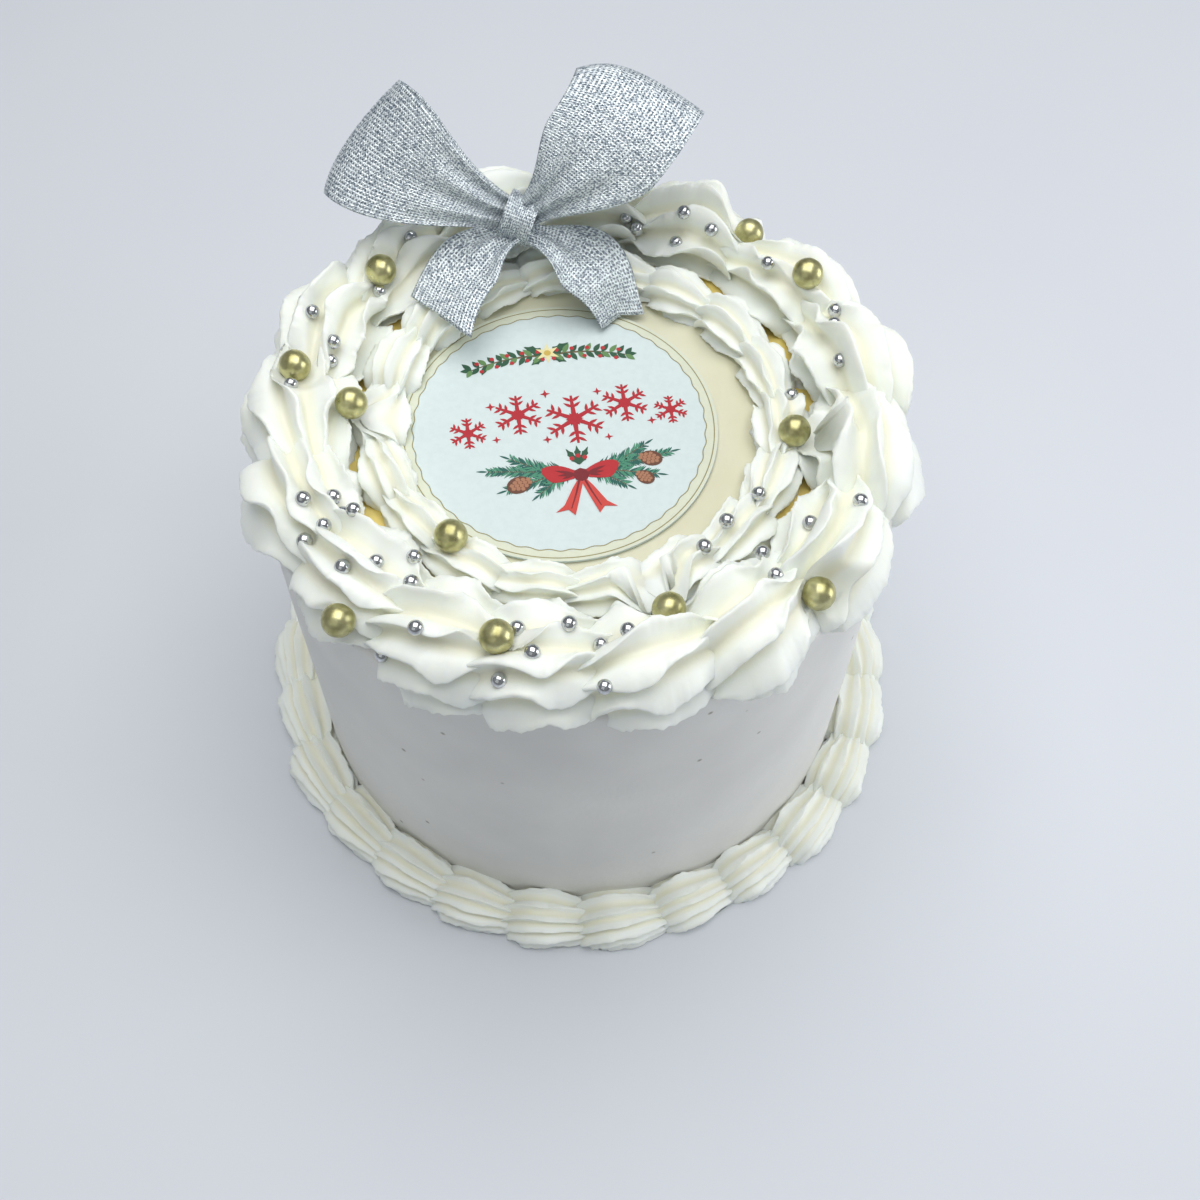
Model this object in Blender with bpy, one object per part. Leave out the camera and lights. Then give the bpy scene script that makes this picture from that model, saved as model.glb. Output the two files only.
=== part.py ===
"""A round christmas cake in ivory buttercream, with a ribbon bow.

The cake has a smooth frosted side, a disc of printed sugar paper on its top,
three borders of piped shells, sugar pearls in gold and silver, and a bow of
silver mesh ribbon at the back of its top border.

Metres, +Z up. The origin is the centre of the flat base, and the front of
the cake faces -Y.
"""

import math
import random

import bmesh
import bpy
from mathutils import Vector
from mathutils.bvhtree import BVHTree

MM = 0.001
UP = Vector((0.0, 0.0, 1.0))

# Cake and its disc of sugar paper
CAKE_RADIUS = 70.8 * MM
CAKE_HEIGHT = 104.0 * MM
TOP_EDGE_RADIUS = 2.5 * MM
BASE_EDGE_RADIUS = 0.8 * MM
CAKE_SEGMENTS = 48
PRINT_RADIUS = 34.8 * MM
PRINT_THICKNESS = 0.6 * MM
PRINT_CENTRE = (-4.6 * MM, -0.2 * MM)
PRINT_SEGMENTS = 40
# Clearance between pieces that touch
GAP = 0.3 * MM
# Edges that a cut leaves shorter than the first of these that works are closed up, and
# faces that meet at less than this angle are made one
SHORT_EDGES = (0.15 * MM, 0.1 * MM, 0.06 * MM, 0.03 * MM, 0.01 * MM, 0.002 * MM)
FLAT = math.radians(0.8)

# Borders of shells: large ones and small ones on the top, others round the base
SHELL_SEED = 24
OUTER_HEADS = (5, 28, 54, 77, 100, 123, 147, 169, 191, 213, 235, 253, 273, 294, 317, 341)
INNER_COUNT = 18
INNER_FIRST = 9.0
BASE_COUNT = 26
BASE_FIRST = -5.0
# Share of a shell's length in its rounded head, and its tip radius at the tail
HEAD_SHARE = 0.4
TAIL_SHARE = 0.35
# Length of a flute below the spine, as a share of its length above it
UNDERSIDE = 0.75
LARGE_STATIONS = (0.08, 0.25, 0.45, 0.7, 1.0)
SMALL_STATIONS = (0.13, 0.42, 1.0)
ENVELOPE_SIDES = 8
ENVELOPE_EXCESS = 1.05
# The two borders on the top part at this radius
BORDERS_PART = 50.3 * MM

# Sugar pearls, each by its angle round the cake and its angle round the border,
# which is 0 on the outer side and 90 on the crest
PEARL_SINK = 0.3
GOLD_RADIUS = 3.7 * MM
GOLD_ON_OUTER = (
    (34, 110),
    (54, 59),
    (142, 133),
    (173, 104),
    (182, 160),
    (229, 20),
    (256, 106),
    (290, 155),
    (317, 38),
)
GOLD_ON_INNER = ((233, 102), (354, 63))
SILVER_RADIUS = 1.65 * MM
SILVER_ON_RIGHT = ((11, 134), (19, 121), (24, 110), (42, 133), (59, 134), (66, 128))
SILVER_AT_BACK = ((66, 160), (77, 160), (80, 150), (132, 120), (145, 158), (158, 73))
SILVER_ON_LEFT = ((161, 99), (165, 141), (168, 158), (178, 106), (207, 100), (208, 140))
SILVER_CLUSTER = ((211, 155), (213, 116), (213, 63), (215, 135), (224, 89), (224, 157))
SILVER_AT_FRONT = ((227, 130), (231, 157), (237, -20), (235, 142), (243, 75), (258, 39), (259, 133))
SILVER_ON_FRONT_RIGHT = ((263, 89), (269, 130), (275, 46), (275, 129), (280, 115), (281, 158))
SILVER_BEYOND = ((312, 125), (315, 157), (327, 143), (335, 93))
SILVER_ON_OUTER = (
    SILVER_ON_RIGHT
    + SILVER_AT_BACK
    + SILVER_ON_LEFT
    + SILVER_CLUSTER
    + SILVER_AT_FRONT
    + SILVER_ON_FRONT_RIGHT
    + SILVER_BEYOND
)
SILVER_ON_INNER = ((7, 55), (306, 89), (316, 102), (331, 100))

# Ribbon bow
RIBBON_WIDTH = 26.0 * MM
RIBBON_THICKNESS = 0.6 * MM
BOW_CENTRE = Vector((-14.6, 45.5, 122.0)) * MM
BOW_TILT = math.radians(48)
LOOP_ANGLES = {"left": math.radians(154), "right": math.radians(46)}
LOOP_LENGTHS = {"left": 39.4 * MM, "right": 40.2 * MM}
LOOP_SKEWS = {"left": 0.2, "right": -0.34}
# Half width of each loop at its far end, the share of its length over which it
# widens, and how far it sags sideways halfway along
LOOP_HALVES = {"left": 14.5 * MM, "right": 13.2 * MM}
LOOP_FILLS = {"left": 0.95, "right": 0.62}
LOOP_SAGS = {"left": 2.0 * MM, "right": -3.2 * MM}
LOOP_BULGE = 8.0 * MM
LOOP_NECK = 0.24
# Plan of each tail: middle line and half width at the knot, halfway and at the end,
# how far its end slants and how deep its end is notched
TAIL_LINES = {
    "left": ((-15.0, 43.0), (-28.5, 38.5), (-31.5, 23.5)),
    "right": ((-13.0, 43.0), (2.7, 42.0), (9.1, 29.3)),
}
TAIL_HALVES = {"left": (3.4, 8.6, 8.2), "right": (3.4, 9.5, 5.6)}
TAIL_SLANTS = {"left": 4.5, "right": 0.0}
TAIL_NOTCHES = {"left": 0.0, "right": 2.0}
TAIL_START = 119.5 * MM
TAIL_CLEAR = 0.9 * MM
KNOT_RADIUS = 4.2 * MM
KNOT_LENGTH = 6.5 * MM
TIE_WIDTH = 7.0 * MM
TIE_THICKNESS = 1.0 * MM


def clear_scene():
    for obj in list(bpy.data.objects):
        bpy.data.objects.remove(obj, do_unlink=True)


def material(name, colour, roughness, metallic=0.0):
    """A Principled BSDF material."""
    made = bpy.data.materials.new(name)
    made.use_nodes = True
    shader = made.node_tree.nodes["Principled BSDF"]
    shader.inputs["Base Color"].default_value = (*colour, 1.0)
    shader.inputs["Roughness"].default_value = roughness
    shader.inputs["Metallic"].default_value = metallic
    return made


def object_from(name, work):
    """Turns a closed bmesh into a named object whose faces point out."""
    bmesh.ops.recalc_face_normals(work, faces=work.faces)
    mesh = bpy.data.meshes.new(name)
    work.to_mesh(mesh)
    work.free()
    obj = bpy.data.objects.new(name, mesh)
    bpy.context.scene.collection.objects.link(obj)
    return obj


def discard(obj):
    mesh = obj.data
    bpy.data.objects.remove(obj, do_unlink=True)
    bpy.data.meshes.remove(mesh)


def boolean(target, operation, operands):
    """Cuts target by a group of objects or joins them to it, then removes them.

    The exact solver does it or, where its result isn't sound, the manifold one.
    """
    if not operands:
        return
    group = bpy.data.collections.new("operands")
    for operand in operands:
        group.objects.link(operand)
    modifier = target.modifiers.new("boolean", "BOOLEAN")
    modifier.operation = operation
    modifier.operand_type = "COLLECTION"
    modifier.collection = group
    for solver in ("EXACT", "MANIFOLD"):
        modifier.solver = solver
        graph = bpy.context.evaluated_depsgraph_get()
        result = bpy.data.meshes.new_from_object(target.evaluated_get(graph))
        work = bmesh.new()
        work.from_mesh(result)
        bmesh.ops.remove_doubles(work, verts=work.verts, dist=SHORT_EDGES[-1])
        bmesh.ops.triangulate(work, faces=work.faces)
        sound = is_sound(work)
        work.free()
        if sound:
            break
    target.modifiers.clear()
    before = target.data
    target.data = result
    bpy.data.meshes.remove(before)
    bpy.data.collections.remove(group)
    for operand in operands:
        discard(operand)


def is_sound(work):
    """Whether a triangulated bmesh is closed and none of its faces cross."""
    if any(len(edge.link_faces) != 2 for edge in work.edges):
        return False
    work.faces.ensure_lookup_table()
    tree = BVHTree.FromBMesh(work)
    for first, second in tree.overlap(tree):
        shared = set(work.faces[first].verts) & set(work.faces[second].verts)
        if first != second and not shared:
            return False
    return True


def keep_largest(obj):
    """Drops the scraps and the tiny faces that a cut leaves, where that keeps it sound."""
    for short in SHORT_EDGES:
        work = bmesh.new()
        work.from_mesh(obj.data)
        bmesh.ops.remove_doubles(work, verts=work.verts, dist=SHORT_EDGES[-1])
        bmesh.ops.dissolve_degenerate(work, edges=work.edges, dist=short)
        bmesh.ops.dissolve_limit(work, angle_limit=FLAT, verts=work.verts, edges=work.edges)
        bmesh.ops.triangulate(work, faces=work.faces)
        drop_scraps(work)
        if is_sound(work) or short == SHORT_EDGES[-1]:
            break
        work.free()
    work.to_mesh(obj.data)
    work.free()


def drop_scraps(work):
    """Removes every loose part of a bmesh but the one with the most points."""
    waiting = set(work.verts)
    islands = []
    while waiting:
        island = []
        front = [waiting.pop()]
        while front:
            vert = front.pop()
            island.append(vert)
            for edge in vert.link_edges:
                other = edge.other_vert(vert)
                if other in waiting:
                    waiting.remove(other)
                    front.append(other)
        islands.append(island)
    islands.sort(key=len)
    for scrap in islands[:-1]:
        bmesh.ops.delete(work, geom=scrap, context="VERTS")


def turned(name, profile, segments, centre=(0.0, 0.0)):
    """Spins a profile of (radius, height) points that starts and ends on the axis."""
    work = bmesh.new()
    verts = [work.verts.new((radius, 0.0, height)) for radius, height in profile]
    edges = [work.edges.new(pair) for pair in zip(verts, verts[1:])]
    bmesh.ops.spin(
        work,
        geom=verts + edges,
        cent=(0.0, 0.0, 0.0),
        axis=UP,
        angle=math.tau,
        steps=segments,
        use_merge=True,
    )
    bmesh.ops.remove_doubles(work, verts=work.verts, dist=1e-6)
    bmesh.ops.translate(work, verts=work.verts, vec=(*centre, 0.0))
    return object_from(name, work)


def corner(radius, centre_radius, centre_height, start, end, steps):
    """Points of a rounded corner in a profile, between two angles in degrees."""
    angles = [math.radians(start + (end - start) * step / steps) for step in range(steps + 1)]
    return [
        (centre_radius + radius * math.cos(angle), centre_height + radius * math.sin(angle))
        for angle in angles
    ]


def ball(name, centre, radius, subdivisions, stretch=1.0):
    """A faceted ball, stretched sideways where stretch isn't 1."""
    work = bmesh.new()
    bmesh.ops.create_icosphere(work, subdivisions=subdivisions, radius=radius)
    bmesh.ops.scale(work, verts=work.verts, vec=(stretch, 1.0, 1.0))
    bmesh.ops.translate(work, verts=work.verts, vec=centre)
    return object_from(name, work)


def cake_body():
    """The frosted cake: one solid with a soft top edge and a flat base."""
    inset = CAKE_RADIUS - TOP_EDGE_RADIUS
    foot = CAKE_RADIUS - BASE_EDGE_RADIUS
    profile = [(0.0, 0.0), (foot, 0.0), (CAKE_RADIUS, BASE_EDGE_RADIUS)]
    profile += corner(TOP_EDGE_RADIUS, inset, CAKE_HEIGHT - TOP_EDGE_RADIUS, 0, 90, 3)
    profile.append((0.0, CAKE_HEIGHT))
    return turned("cake_body", profile, CAKE_SEGMENTS)


def print_disc():
    """The disc of sugar paper that lies on the top."""
    low = CAKE_HEIGHT + GAP
    high = low + PRINT_THICKNESS
    profile = [(0.0, low), (PRINT_RADIUS, low), (PRINT_RADIUS, high), (0.0, high)]
    return turned("print_disc", profile, PRINT_SEGMENTS, PRINT_CENTRE)


def clearance():
    """The cake grown by the gap, with all that lies under the board's level."""
    wall = CAKE_RADIUS + GAP
    floor_reach = 2.0 * CAKE_RADIUS
    depth = -30.0 * MM
    profile = [(0.0, depth), (floor_reach, depth), (floor_reach, 0.0), (wall, 0.0)]
    profile += [(wall, CAKE_HEIGHT + GAP), (0.0, CAKE_HEIGHT + GAP)]
    return turned("clearance", profile, CAKE_SEGMENTS)


def print_clearance():
    """The disc of sugar paper grown by the gap, down into the cake."""
    low = CAKE_HEIGHT - TOP_EDGE_RADIUS
    high = CAKE_HEIGHT + PRINT_THICKNESS + 2.0 * GAP
    wall = PRINT_RADIUS + GAP
    profile = [(0.0, low), (wall, low), (wall, high), (0.0, high)]
    return turned("print_clearance", profile, PRINT_SEGMENTS, PRINT_CENTRE)


def core():
    """What lies inside the outer border, as a cutter."""
    low = 90.0 * MM
    high = 140.0 * MM
    profile = [(0.0, low), (BORDERS_PART, low), (BORDERS_PART, high), (0.0, high)]
    return turned("core", profile, 2 * CAKE_SEGMENTS)


class Border:
    """The measures that the shells of one border share."""

    def __init__(self, way, radius, seat, reach, length, flutes, valley, slant=0.0, droop=0.0):
        self.way = way
        self.radius = radius * MM
        self.seat = seat
        self.reach = reach * MM
        self.length = length * MM
        self.flutes = flutes
        self.valley = valley
        self.slant = slant * MM
        self.droop = droop * MM


# Seen from above, the outer and base borders are piped anticlockwise
OUTER = Border(1, 63.9, CAKE_HEIGHT, 13.6, 35.0, 8, 0.58, slant=4.0, droop=6.0)
INNER = Border(-1, 43.9, CAKE_HEIGHT, 7.2, 21.0, 6, 0.66)
BASE = Border(1, 77.6, 0.0, 7.3, 25.0, 6, 0.74)


class Shell:
    """A piped shell: a fluted sweep that rises out of the icing and runs along its border."""

    def __init__(self, name, border, head, rng):
        self.name = name
        self.border = border
        self.head = math.radians(head)
        self.radius = border.radius * rng.uniform(0.99, 1.01)
        self.reach = border.reach * rng.uniform(0.94, 1.04)
        self.length = border.length * rng.uniform(0.95, 1.06)
        self.bend = 0.85 * self.reach
        self.lift = 0.35 * self.reach
        self.phase = rng.uniform(0.0, 1.0)
        self.twist = math.radians(rng.uniform(10.0, 30.0)) * border.way

    def section(self, share):
        """Centre, outward, upward and travel directions and tip radius of a cross-section."""
        way = self.border.way
        if share <= HEAD_SHARE:
            turn = 0.5 * math.pi * share / HEAD_SHARE
            ahead = self.bend * (1.0 - math.cos(turn))
            height = self.lift - self.bend * (1.0 - math.sin(turn))
            tip = self.reach * math.sin(turn) ** 0.6
        else:
            run = (share - HEAD_SHARE) / (1.0 - HEAD_SHARE)
            turn = 0.5 * math.pi
            ahead = self.bend + (self.length - self.bend) * run
            height = self.lift * (1.0 - 0.8 * run**1.5)
            tip = self.reach * (1.0 - (1.0 - TAIL_SHARE) * run**1.4)
        radius = self.radius - self.border.slant * share
        angle = self.head + way * ahead / self.radius
        outward = Vector((math.cos(angle), math.sin(angle), 0.0))
        along = UP.cross(outward) * way
        centre = outward * radius + UP * (self.border.seat + height)
        upward = UP * math.sin(turn) - along * math.cos(turn)
        travel = UP * math.cos(turn) + along * math.sin(turn)
        return centre, outward, upward, travel, tip

    def place(self, share, angle, distance):
        """The point of a cross-section at a distance from the spine."""
        centre, outward, upward, _travel, _tip = self.section(share)
        across = distance * math.cos(angle)
        height = distance * math.sin(angle) * (UNDERSIDE if math.sin(angle) < 0.0 else 1.0)
        droop = self.border.droop * (max(across, 0.0) / self.border.reach) ** 2
        return centre + outward * across + upward * height - UP * droop

    def skin(self, share, angle):
        """A point of the fluted skin. The angle goes round from the outer side."""
        tip = self.section(share)[4]
        turn = 0.5 * self.border.flutes * (angle - self.twist * share)
        fin = 1.0 - abs(math.sin(turn + math.pi * self.phase))
        return self.place(share, angle, tip * (self.border.valley + (1.0 - self.border.valley) * fin))

    def stations(self):
        return LARGE_STATIONS if self.border is OUTER else SMALL_STATIONS

    def solid(self):
        """The closed fluted solid."""
        flutes = self.border.flutes
        rings = []
        for share in self.stations():
            first = self.twist * share - math.tau * self.phase / flutes
            angles = [first + math.pi * step / flutes for step in range(2 * flutes)]
            rings.append([self.skin(share, angle) for angle in angles])
        centre, _outward, _upward, _travel, _tip = self.section(0.0)
        end = self.section(1.0)
        return swept(self.name, rings, centre, end[0])

    def envelope(self):
        """A smooth solid round the shell, to cut its neighbour with."""
        angles = [math.tau * step / ENVELOPE_SIDES for step in range(ENVELOPE_SIDES)]
        widen = ENVELOPE_EXCESS / math.cos(math.pi / ENVELOPE_SIDES)
        rings = []
        for share in self.stations():
            tip = self.section(share)[4] * widen + GAP
            rings.append([self.place(share, angle, tip) for angle in angles])
        start = self.section(0.0)
        end = self.section(1.0)
        return swept("envelope", rings, start[0] - start[3] * GAP, end[0] + end[3] * GAP)


def swept(name, rings, start, end):
    """A closed solid through rings of points, with a point at either end."""
    work = bmesh.new()
    loops = [[work.verts.new(point) for point in ring] for ring in rings]
    around = len(rings[0])
    for loop, following in zip(loops, loops[1:]):
        for step in range(around):
            after = (step + 1) % around
            work.faces.new((loop[step], loop[after], following[after], following[step]))
    for loop, point in ((loops[0], start), (loops[-1], end)):
        pole = work.verts.new(point)
        for step in range(around):
            work.faces.new((loop[step], loop[(step + 1) % around], pole))
    return object_from(name, work)


def border_shells(rng):
    """The shells of the outer, inner and base borders."""
    outer = [
        Shell(f"outer_shell_{number:02d}", OUTER, head, rng)
        for number, head in enumerate(OUTER_HEADS, 1)
    ]
    inner = [
        Shell(f"inner_shell_{number + 1:02d}", INNER, INNER_FIRST - 360.0 * number / INNER_COUNT, rng)
        for number in range(INNER_COUNT)
    ]
    base = [
        Shell(f"base_shell_{number + 1:02d}", BASE, BASE_FIRST + 360.0 * number / BASE_COUNT, rng)
        for number in range(BASE_COUNT)
    ]
    return outer, inner, base


def separate_border(shells):
    """Solids of a border's shells, each cut by the cake and by the next shell's head."""
    solids = []
    for shell, following in zip(shells, shells[1:] + shells[:1]):
        solid = shell.solid()
        cutters = [clearance(), following.envelope()]
        if shell.border is OUTER:
            cutters.append(core())
        boolean(solid, "DIFFERENCE", cutters)
        keep_largest(solid)
        solids.append(solid)
    return solids


def joined_border(name, shells):
    """One solid of a border whose shells run into each other."""
    first, *rest = [shell.solid() for shell in shells]
    first.name = name
    boolean(first, "UNION", rest)
    boolean(first, "DIFFERENCE", [clearance(), print_clearance()])
    keep_largest(first)
    return first


def surface_tree(solids):
    """A search tree of the solids' faces, with the solid that each face is on."""
    points = []
    faces = []
    owners = []
    for solid in solids:
        start = len(points)
        points += [vert.co.copy() for vert in solid.data.vertices]
        for polygon in solid.data.polygons:
            faces.append([start + index for index in polygon.vertices])
            owners.append(solid)
    return BVHTree.FromPolygons(points, faces), owners


def pearl_places(tree, owners, spots, border, radius):
    """Centres of pearls that lie on a border, and the solid that each lies on."""
    places = []
    for around, over in spots:
        outward = Vector((math.cos(math.radians(around)), math.sin(math.radians(around)), 0.0))
        lean = math.radians(over)
        aim = outward * math.cos(lean) + UP * math.sin(lean)
        middle = outward * border.radius + UP * (border.seat + 0.35 * border.reach)
        hit, _normal, face, _distance = tree.ray_cast(middle + aim * 2.0 * border.reach, -aim)
        places.append((hit + aim * radius * (1.0 - 2.0 * PEARL_SINK), owners[face]))
    return places


def corners(obj):
    """Lowest and highest corner of an object's box."""
    points = [vert.co for vert in obj.data.vertices]
    low = Vector([min(point[axis] for point in points) for axis in range(3)])
    high = Vector([max(point[axis] for point in points) for axis in range(3)])
    return low, high


def near(solid, others):
    """Those of the others whose boxes meet the solid's. The rest are removed."""
    kept = []
    low, high = corners(solid)
    for other in others:
        other_low, other_high = corners(other)
        if all(other_low[axis] < high[axis] and low[axis] < other_high[axis] for axis in range(3)):
            kept.append(other)
        else:
            discard(other)
    return kept


def smooth(value):
    value = min(max(value, 0.0), 1.0)
    return value * value * (3.0 - 2.0 * value)


def bow_axes():
    """Sideways, upward and facing directions of the plane that the bow spreads in."""
    sideways = Vector((1.0, 0.0, 0.0))
    upward = Vector((0.0, math.cos(BOW_TILT), math.sin(BOW_TILT)))
    return sideways, upward, sideways.cross(upward)


def loop_surface(side):
    """A loop of ribbon as a function of its run, from 0 to 1, and its breadth, from -1 to 1."""
    sideways, upward, facing = bow_axes()
    turn = LOOP_ANGLES[side]
    along = sideways * math.cos(turn) + upward * math.sin(turn)
    across = facing.cross(along)
    length = LOOP_LENGTHS[side]

    def point(run, breadth):
        ahead = 0.5 * length * (1.0 - math.cos(math.tau * run))
        spread = LOOP_BULGE * math.sin(math.tau * run) * math.sin(math.pi * run) ** 0.6
        spread += 1.2 * MM * math.cos(math.pi * run)
        widened = smooth(ahead / (LOOP_FILLS[side] * length))
        half = LOOP_HALVES[side] * (LOOP_NECK + (1.0 - LOOP_NECK) * widened)
        sag = LOOP_SAGS[side] * math.sin(math.pi * ahead / length)
        sheer = LOOP_SKEWS[side] * half * breadth * ahead / length
        aside = half * breadth + sag
        return BOW_CENTRE + along * (ahead + sheer) + facing * spread + across * aside

    return point


def tail_plan(side, run, breadth):
    """Where a tail's point lies seen from above."""
    first, middle, last = [Vector(point) * MM for point in TAIL_LINES[side]]
    line = first * (1.0 - run) ** 2 + middle * 2.0 * run * (1.0 - run) + last * run**2
    heading = ((middle - first) * (1.0 - run) + (last - middle) * run).normalized()
    across = Vector((-heading.y, heading.x))
    start, halfway, end = [half * MM for half in TAIL_HALVES[side]]
    half = start + (halfway - start) * smooth(2.0 * run) + (end - halfway) * smooth(2.0 * run - 1.0)
    ahead = (TAIL_SLANTS[side] * breadth - TAIL_NOTCHES[side] * (1.0 - abs(breadth))) * MM * run**3
    return line + heading * ahead + across * half * breadth


def tail_heights(side, tree, runs, breadths):
    """Heights along a tail that is stretched over the icing from the knot."""
    lows = []
    for run in runs:
        low = CAKE_HEIGHT + 2.0 * MM
        for breadth in breadths:
            spot = tail_plan(side, run, breadth)
            hit = tree.ray_cast(Vector((spot.x, spot.y, 0.2)), -UP)[0]
            if hit:
                low = max(low, hit.z + TAIL_CLEAR)
        lows.append(low)
    lows[0] = TAIL_START
    heights = list(lows)
    for start in range(len(runs)):
        for end in range(start + 1, len(runs)):
            for between in range(start + 1, end):
                part = (runs[between] - runs[start]) / (runs[end] - runs[start])
                level = lows[start] + (lows[end] - lows[start]) * part
                heights[between] = max(heights[between], level)
    return heights


def tail_surface(side, tree):
    """A tail of ribbon as a function of its run and breadth."""
    runs = [step / 12 for step in range(13)]
    heights = tail_heights(side, tree, runs, (-1.0, -0.5, 0.0, 0.5, 1.0))

    def point(run, breadth):
        spot = tail_plan(side, run, breadth)
        step = min(max(int(run * 12), 0), 11)
        height = heights[step] + (heights[step + 1] - heights[step]) * (run * 12 - step)
        return Vector((spot.x, spot.y, height))

    return point


def ribbon_solid(name, surface, runs, breadths, thickness=RIBBON_THICKNESS):
    """A thin closed solid round a ribbon's middle surface."""
    step = 1e-3
    work = bmesh.new()
    above = []
    below = []
    for run in runs:
        row_above = []
        row_below = []
        for breadth in breadths:
            along = surface(min(run + step, 1.0), breadth) - surface(max(run - step, 0.0), breadth)
            across = surface(run, breadth + step) - surface(run, breadth - step)
            normal = along.cross(across).normalized() * (0.5 * thickness)
            middle = surface(run, breadth)
            row_above.append(work.verts.new(middle + normal))
            row_below.append(work.verts.new(middle - normal))
        above.append(row_above)
        below.append(row_below)
    rows = len(runs) - 1
    columns = len(breadths) - 1
    for row in range(rows):
        for column in range(columns):
            for sheet in (above, below):
                nearer, further = sheet[row], sheet[row + 1]
                quad = (nearer[column], further[column], further[column + 1], nearer[column + 1])
                work.faces.new(quad)
        for edge in (0, columns):
            quad = (above[row][edge], above[row + 1][edge], below[row + 1][edge], below[row][edge])
            work.faces.new(quad)
    for column in range(columns):
        for end in (0, rows):
            upper, lower = above[end], below[end]
            work.faces.new((upper[column], upper[column + 1], lower[column + 1], lower[column]))
    return object_from(name, work)


def bow_pieces(tree, thickness, knot):
    """The loops, the tails and the gathered middle of the bow, as closed solids."""
    loop_runs = [0.03 + 0.94 * step / 16 for step in range(17)]
    tail_runs = [step / 6 for step in range(7)]
    edge = 1.0 + (thickness - RIBBON_THICKNESS) / RIBBON_WIDTH
    breadths = (-edge, 0.0, edge)
    pieces = [ball("bow_ribbon", BOW_CENTRE, knot, 2, KNOT_LENGTH / KNOT_RADIUS)]
    for side in ("left", "right"):
        loop = loop_surface(side)
        pieces.append(ribbon_solid("loop", loop, loop_runs, breadths, thickness))
        tail = tail_surface(side, tree)
        pieces.append(ribbon_solid("tail", tail, tail_runs, breadths, thickness))
    return pieces


def tie_profile(grow):
    """Inner and outer radius and half width of the tie, grown for clearance."""
    inner = KNOT_RADIUS + GAP - grow
    outer = KNOT_RADIUS + GAP + TIE_THICKNESS + grow
    return inner, outer, 0.5 * TIE_WIDTH + grow


def tie_ring(name, grow=0.0):
    """The band of ribbon round the middle of the bow, about its sideways axis."""
    inner, outer, half = tie_profile(grow)
    profile = ((inner, -half), (outer, -half), (outer, half), (inner, half))
    segments = 14
    work = bmesh.new()
    rings = []
    for step in range(segments):
        turn = math.tau * step / segments
        ring = []
        for radius, side in profile:
            point = Vector((side, radius * math.cos(turn), radius * math.sin(turn)))
            ring.append(work.verts.new(BOW_CENTRE + point))
        rings.append(ring)
    for step in range(segments):
        ring, following = rings[step], rings[(step + 1) % segments]
        for side in range(4):
            after = (side + 1) % 4
            work.faces.new((ring[side], ring[after], following[after], following[side]))
    return object_from(name, work)


def bow(tree):
    """The ribbon of the bow, and the tie round its middle."""
    ribbon, *rest = bow_pieces(tree, RIBBON_THICKNESS, KNOT_RADIUS)
    boolean(ribbon, "UNION", rest)
    boolean(ribbon, "DIFFERENCE", [tie_ring("cutter", GAP)])
    keep_largest(ribbon)
    return ribbon, tie_ring("bow_tie")


def make_room(solids, tree):
    """Cuts the room that the bow takes out of the icing."""
    room = KNOT_RADIUS + TIE_THICKNESS + 3.0 * GAP
    for solid in solids:
        cutters = bow_pieces(tree, RIBBON_THICKNESS + 2.0 * GAP, KNOT_RADIUS + GAP)
        cutters.append(ball("cutter", BOW_CENTRE, room, 2, 1.2))
        cutters = near(solid, cutters)
        if cutters:
            boolean(solid, "DIFFERENCE", cutters)
            keep_largest(solid)


def add_pearls(solids):
    """Gold pearls as their own solids, and silver ones fused to what they lie on."""
    tree, owners = surface_tree(solids)
    gold = pearl_places(tree, owners, GOLD_ON_OUTER, OUTER, GOLD_RADIUS)
    gold += pearl_places(tree, owners, GOLD_ON_INNER, INNER, GOLD_RADIUS)
    silver = pearl_places(tree, owners, SILVER_ON_OUTER, OUTER, SILVER_RADIUS)
    silver += pearl_places(tree, owners, SILVER_ON_INNER, INNER, SILVER_RADIUS)
    for solid in solids:
        own = [ball("pearl", centre, SILVER_RADIUS, 1) for centre, owner in silver if owner is solid]
        boolean(solid, "UNION", own)
        cutters = [ball("cutter", centre, GOLD_RADIUS + GAP, 2) for centre, _owner in gold]
        cutters += [
            ball("cutter", centre, SILVER_RADIUS + GAP, 1)
            for centre, owner in silver
            if owner is not solid
        ]
        boolean(solid, "DIFFERENCE", near(solid, cutters))
        keep_largest(solid)
    return [
        ball(f"gold_pearl_{number:02d}", centre, GOLD_RADIUS, 2)
        for number, (centre, _owner) in enumerate(gold, 1)
    ]


def paint(objects, finish):
    for obj in objects:
        obj.data.materials.clear()
        obj.data.materials.append(finish)
        obj.data.shade_smooth()
        obj.data.set_sharp_from_angle(angle=math.radians(35))


def main():
    clear_scene()
    outer_shells, inner_shells, base_shells = border_shells(random.Random(SHELL_SEED))
    outer = separate_border(outer_shells)
    inner = joined_border("inner_border", inner_shells)
    base = separate_border(base_shells)
    tree, _owners = surface_tree(outer + [inner])
    ribbon, tie = bow(tree)
    make_room(outer + [inner], tree)
    pearls = add_pearls(outer + [inner])
    icing = material("ivory_buttercream", (0.91, 0.89, 0.80), 0.5)
    paint(outer + [inner] + base + [cake_body()], icing)
    paint([print_disc()], material("sugar_paper", (0.80, 0.84, 0.85), 0.6))
    paint(pearls, material("gold_pearl", (0.45, 0.38, 0.12), 0.3, 1.0))
    paint([ribbon, tie], material("silver_ribbon", (0.62, 0.64, 0.68), 0.35, 0.9))


main()
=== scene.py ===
"""The looks of a christmas cake in ivory buttercream with a silver ribbon bow.

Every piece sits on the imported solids. The piped shells follow the same sweep
as the solids do, with thinner, deeper and more ragged fins.
"""

import math
import random

import bmesh
import bpy
import numpy as np
from mathutils import Matrix, Vector
from mathutils.bvhtree import BVHTree


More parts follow.
